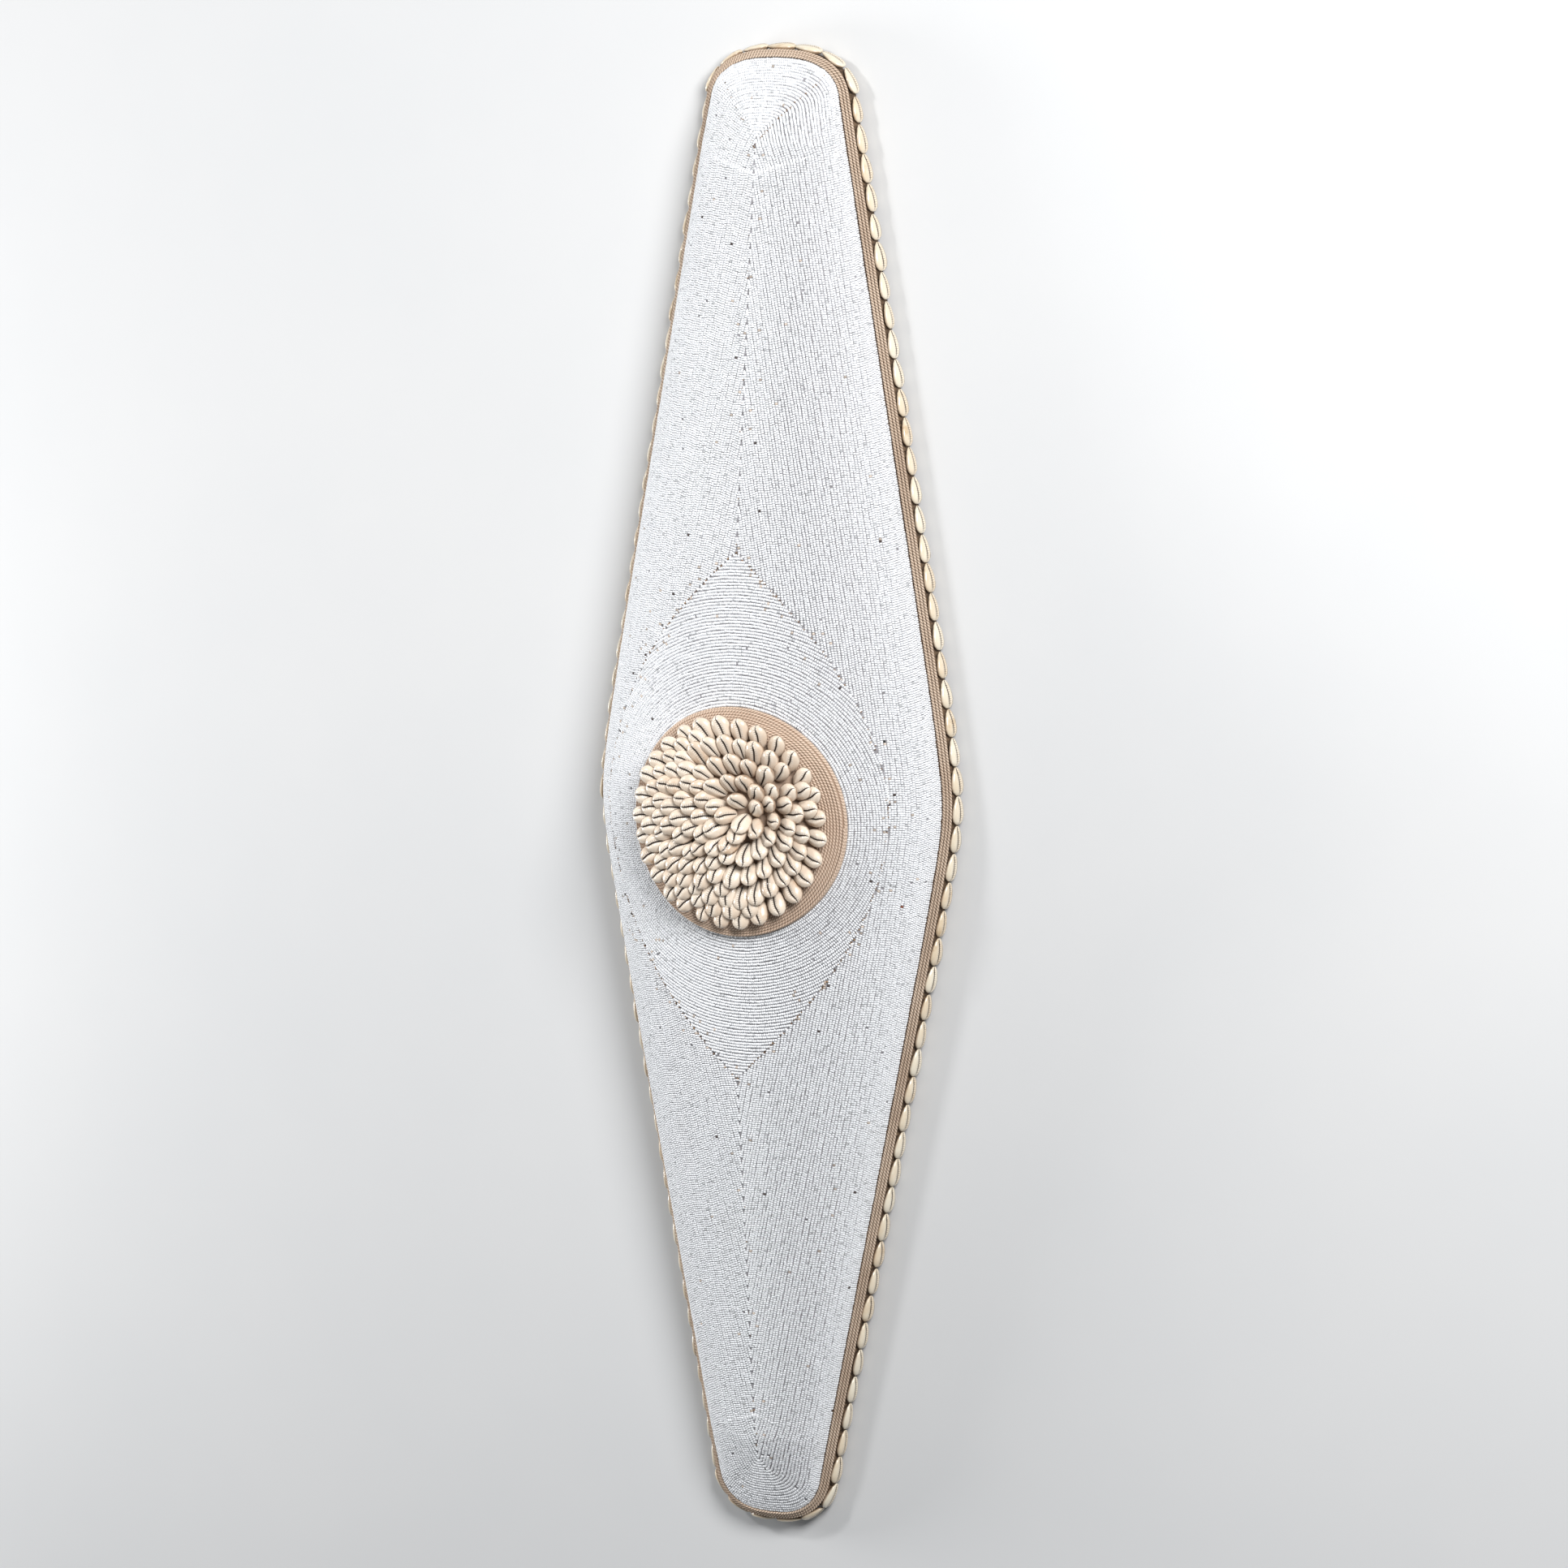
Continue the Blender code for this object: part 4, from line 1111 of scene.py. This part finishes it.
def make_edge_cowries():
    """Shells end to end on the side wall, narrow end up, one garland for each stretch of it."""
    route = offset_plan(plan_outline(), EDGE_WALL_OFFSET + PIECE_GAP + EDGE_SHELL_DEPTH / 2)
    step = np.linalg.norm(np.roll(route, -1, axis=0) - route, axis=1)
    run = np.concatenate(([0.0], np.cumsum(step)))
    looped = np.vstack((route, route[:1]))
    count = round(run[-1] / EDGE_SHELL_PITCH)
    pitch = run[-1] / count
    at = (np.arange(count) + 0.5) * pitch

    def along(distance):
        return np.stack([np.interp(distance % run[-1], run, looped[:, i]) for i in range(2)], axis=-1)

    spots = along(at)
    ahead = along(at + EDGE_HEADING_RUN) - along(at - EDGE_HEADING_RUN)
    ahead = np.column_stack((ahead, rng.normal(0.0, EDGE_HEADING_STRAY, count)))
    ahead /= np.linalg.norm(ahead, axis=1, keepdims=True)
    outward = np.cross(ahead, (0.0, 0.0, 1.0))
    outward[:, 2] += rng.normal(EDGE_TILT, EDGE_TILT_STRAY, count)
    outward -= ahead * (outward * ahead).sum(axis=1, keepdims=True)
    outward /= np.linalg.norm(outward, axis=1, keepdims=True)
    names = np.array([stretch_of(spot) for spot in spots])
    up = np.where(np.char.endswith(names, "left")[:, None], -ahead, ahead)
    across = np.cross(outward, up)
    centres = np.column_stack((spots, EDGE_SHELL_LEVEL + rng.normal(0.0, EDGE_LEVEL_STRAY, count)))
    size = rng.normal(1.0, EDGE_SHELL_STRAY, (count, 1)) * np.array(
        (pitch * EDGE_LENGTH_SHARE, EDGE_SHELL_WIDTH, EDGE_SHELL_DEPTH * EDGE_DEPTH_SHARE)) / 2
    axes = np.stack((up, across, outward), axis=1)
    for name in dict.fromkeys(names):
        here = names == name
        shell = edge_shell_left if name.endswith("left") else edge_shell
        stamp_shells("edge_cowrie_shells_" + name, shell, centres[here], axes[here], size[here],
                     cowrie_edge, "edge_cowries_" + name)


def make_side_fibre():
    """Coarse fibre wound over the side wall, bunched between the shells."""
    loop = offset_plan(plan_outline(), EDGE_WALL_OFFSET + FIBRE_CLEARANCE)
    loop = resample(loop, FIBRE_PITCH, closed=True)
    count = len(loop)
    ahead = np.roll(loop, -1, axis=0) - np.roll(loop, 1, axis=0)
    ahead /= np.linalg.norm(ahead, axis=1, keepdims=True)
    outward = np.stack((ahead[:, 1], -ahead[:, 0]), axis=-1)
    wave = rng.random(count)
    steps = len(FIBRE_LEVELS)
    bunch = FIBRE_LEAST_SHARE + (1.0 - FIBRE_LEAST_SHARE) * wave[:, None]
    lift = FIBRE_PROUD[None, :] * bunch * rng.uniform(*FIBRE_UNEVEN, (count, steps))
    spot = loop[:, None, :] + outward[:, None, :] * lift[..., None]
    levels = np.broadcast_to(FIBRE_LEVELS[None, :, None], (count, steps, 1))
    verts = np.concatenate((spot, levels), axis=-1)
    index = np.arange(count * steps).reshape(count, steps)
    after = np.roll(index, -1, axis=0)
    quads = np.stack((index, after, np.roll(after, -1, axis=1), np.roll(index, -1, axis=1)), axis=-1)
    band = new_piece("side_fibre", verts.reshape(-1, 3), quads.reshape(-1, 4), fibre_finish(),
                     smooth=False)
    point_values(band, "strand", np.repeat(wave, steps))


boss_shell = model_cowrie(BOSS_SHELL_STATIONS, BOSS_SHELL_TAPER)
edge_shell = model_cowrie(EDGE_SHELL_STATIONS, EDGE_SHELL_TAPER, EDGE_SLIT_TURN)
edge_shell_left = model_cowrie(EDGE_SHELL_STATIONS, EDGE_SHELL_TAPER, -EDGE_SLIT_TURN)
make_edge_cords()
make_boss_disc()
make_boss_cowries()
make_edge_cowries()
make_side_fibre()

wood = board_finish()
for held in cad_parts["board"].material_slots:
    held.material = wood


# Floor, lights and camera

select_none()
bpy.ops.mesh.primitive_plane_add(size=14.0)
floor = bpy.context.view_layer.objects.active
floor.name = "floor"
floor.data.materials.append(floor_finish())


def soft_light(name, place, aim, size, power):
    lamp = bpy.data.lights.new(name, "AREA")
    lamp.shape = "DISK"
    lamp.size = size
    lamp.energy = power
    holder = bpy.data.objects.new(name, lamp)
    holder.location = place
    holder.rotation_euler = (Vector(aim) - Vector(place)).to_track_quat("-Z", "Y").to_euler()
    bpy.context.scene.collection.objects.link(holder)


soft_light("window_key", (-1.2, 1.25, 1.65), (0.0, 0.1, 0.0), 0.28, 16.0)
soft_light("far_corner_fill", (1.35, 1.0, 1.5), (0.2, 0.2, 0.0), 0.9, 53.0)
soft_light("low_left_fill", (-1.6, -0.10, 0.38), (-0.1, 0.0, 0.03), 0.6, 17.0)

sky = bpy.data.worlds.new("pale_room")
sky.use_nodes = True
sky.node_tree.nodes["Background"].inputs["Color"].default_value = (0.90, 0.95, 1.0, 1.0)
sky.node_tree.nodes["Background"].inputs["Strength"].default_value = 0.18
bpy.context.scene.world = sky
bpy.context.scene.view_settings.view_transform = "Standard"

CAMERA_PLACE = Vector((1.75069, 0.56140, 3.57260))
CAMERA_AIM = Vector((0.00912, 0.00989, 0.02000))
CAMERA_ROLL = 0.00382
SENSOR_WIDTH = 36.0
FOCAL_LENGTH = 130.43
forward = (CAMERA_AIM - CAMERA_PLACE).normalized()
right = forward.cross(Vector((0.0, 1.0, 0.0))).normalized()
up = right.cross(forward)
level_right = right * math.cos(CAMERA_ROLL) + up * math.sin(CAMERA_ROLL)
level_up = up * math.cos(CAMERA_ROLL) - right * math.sin(CAMERA_ROLL)
lens = bpy.data.cameras.new("camera")
lens.sensor_width = SENSOR_WIDTH
lens.lens = FOCAL_LENGTH
camera = bpy.data.objects.new("camera", lens)
camera.matrix_world = Matrix((level_right, level_up, -forward)).transposed().to_4x4()
camera.location = CAMERA_PLACE
bpy.context.scene.collection.objects.link(camera)
bpy.context.scene.camera = camera

bpy.context.view_layer.update()
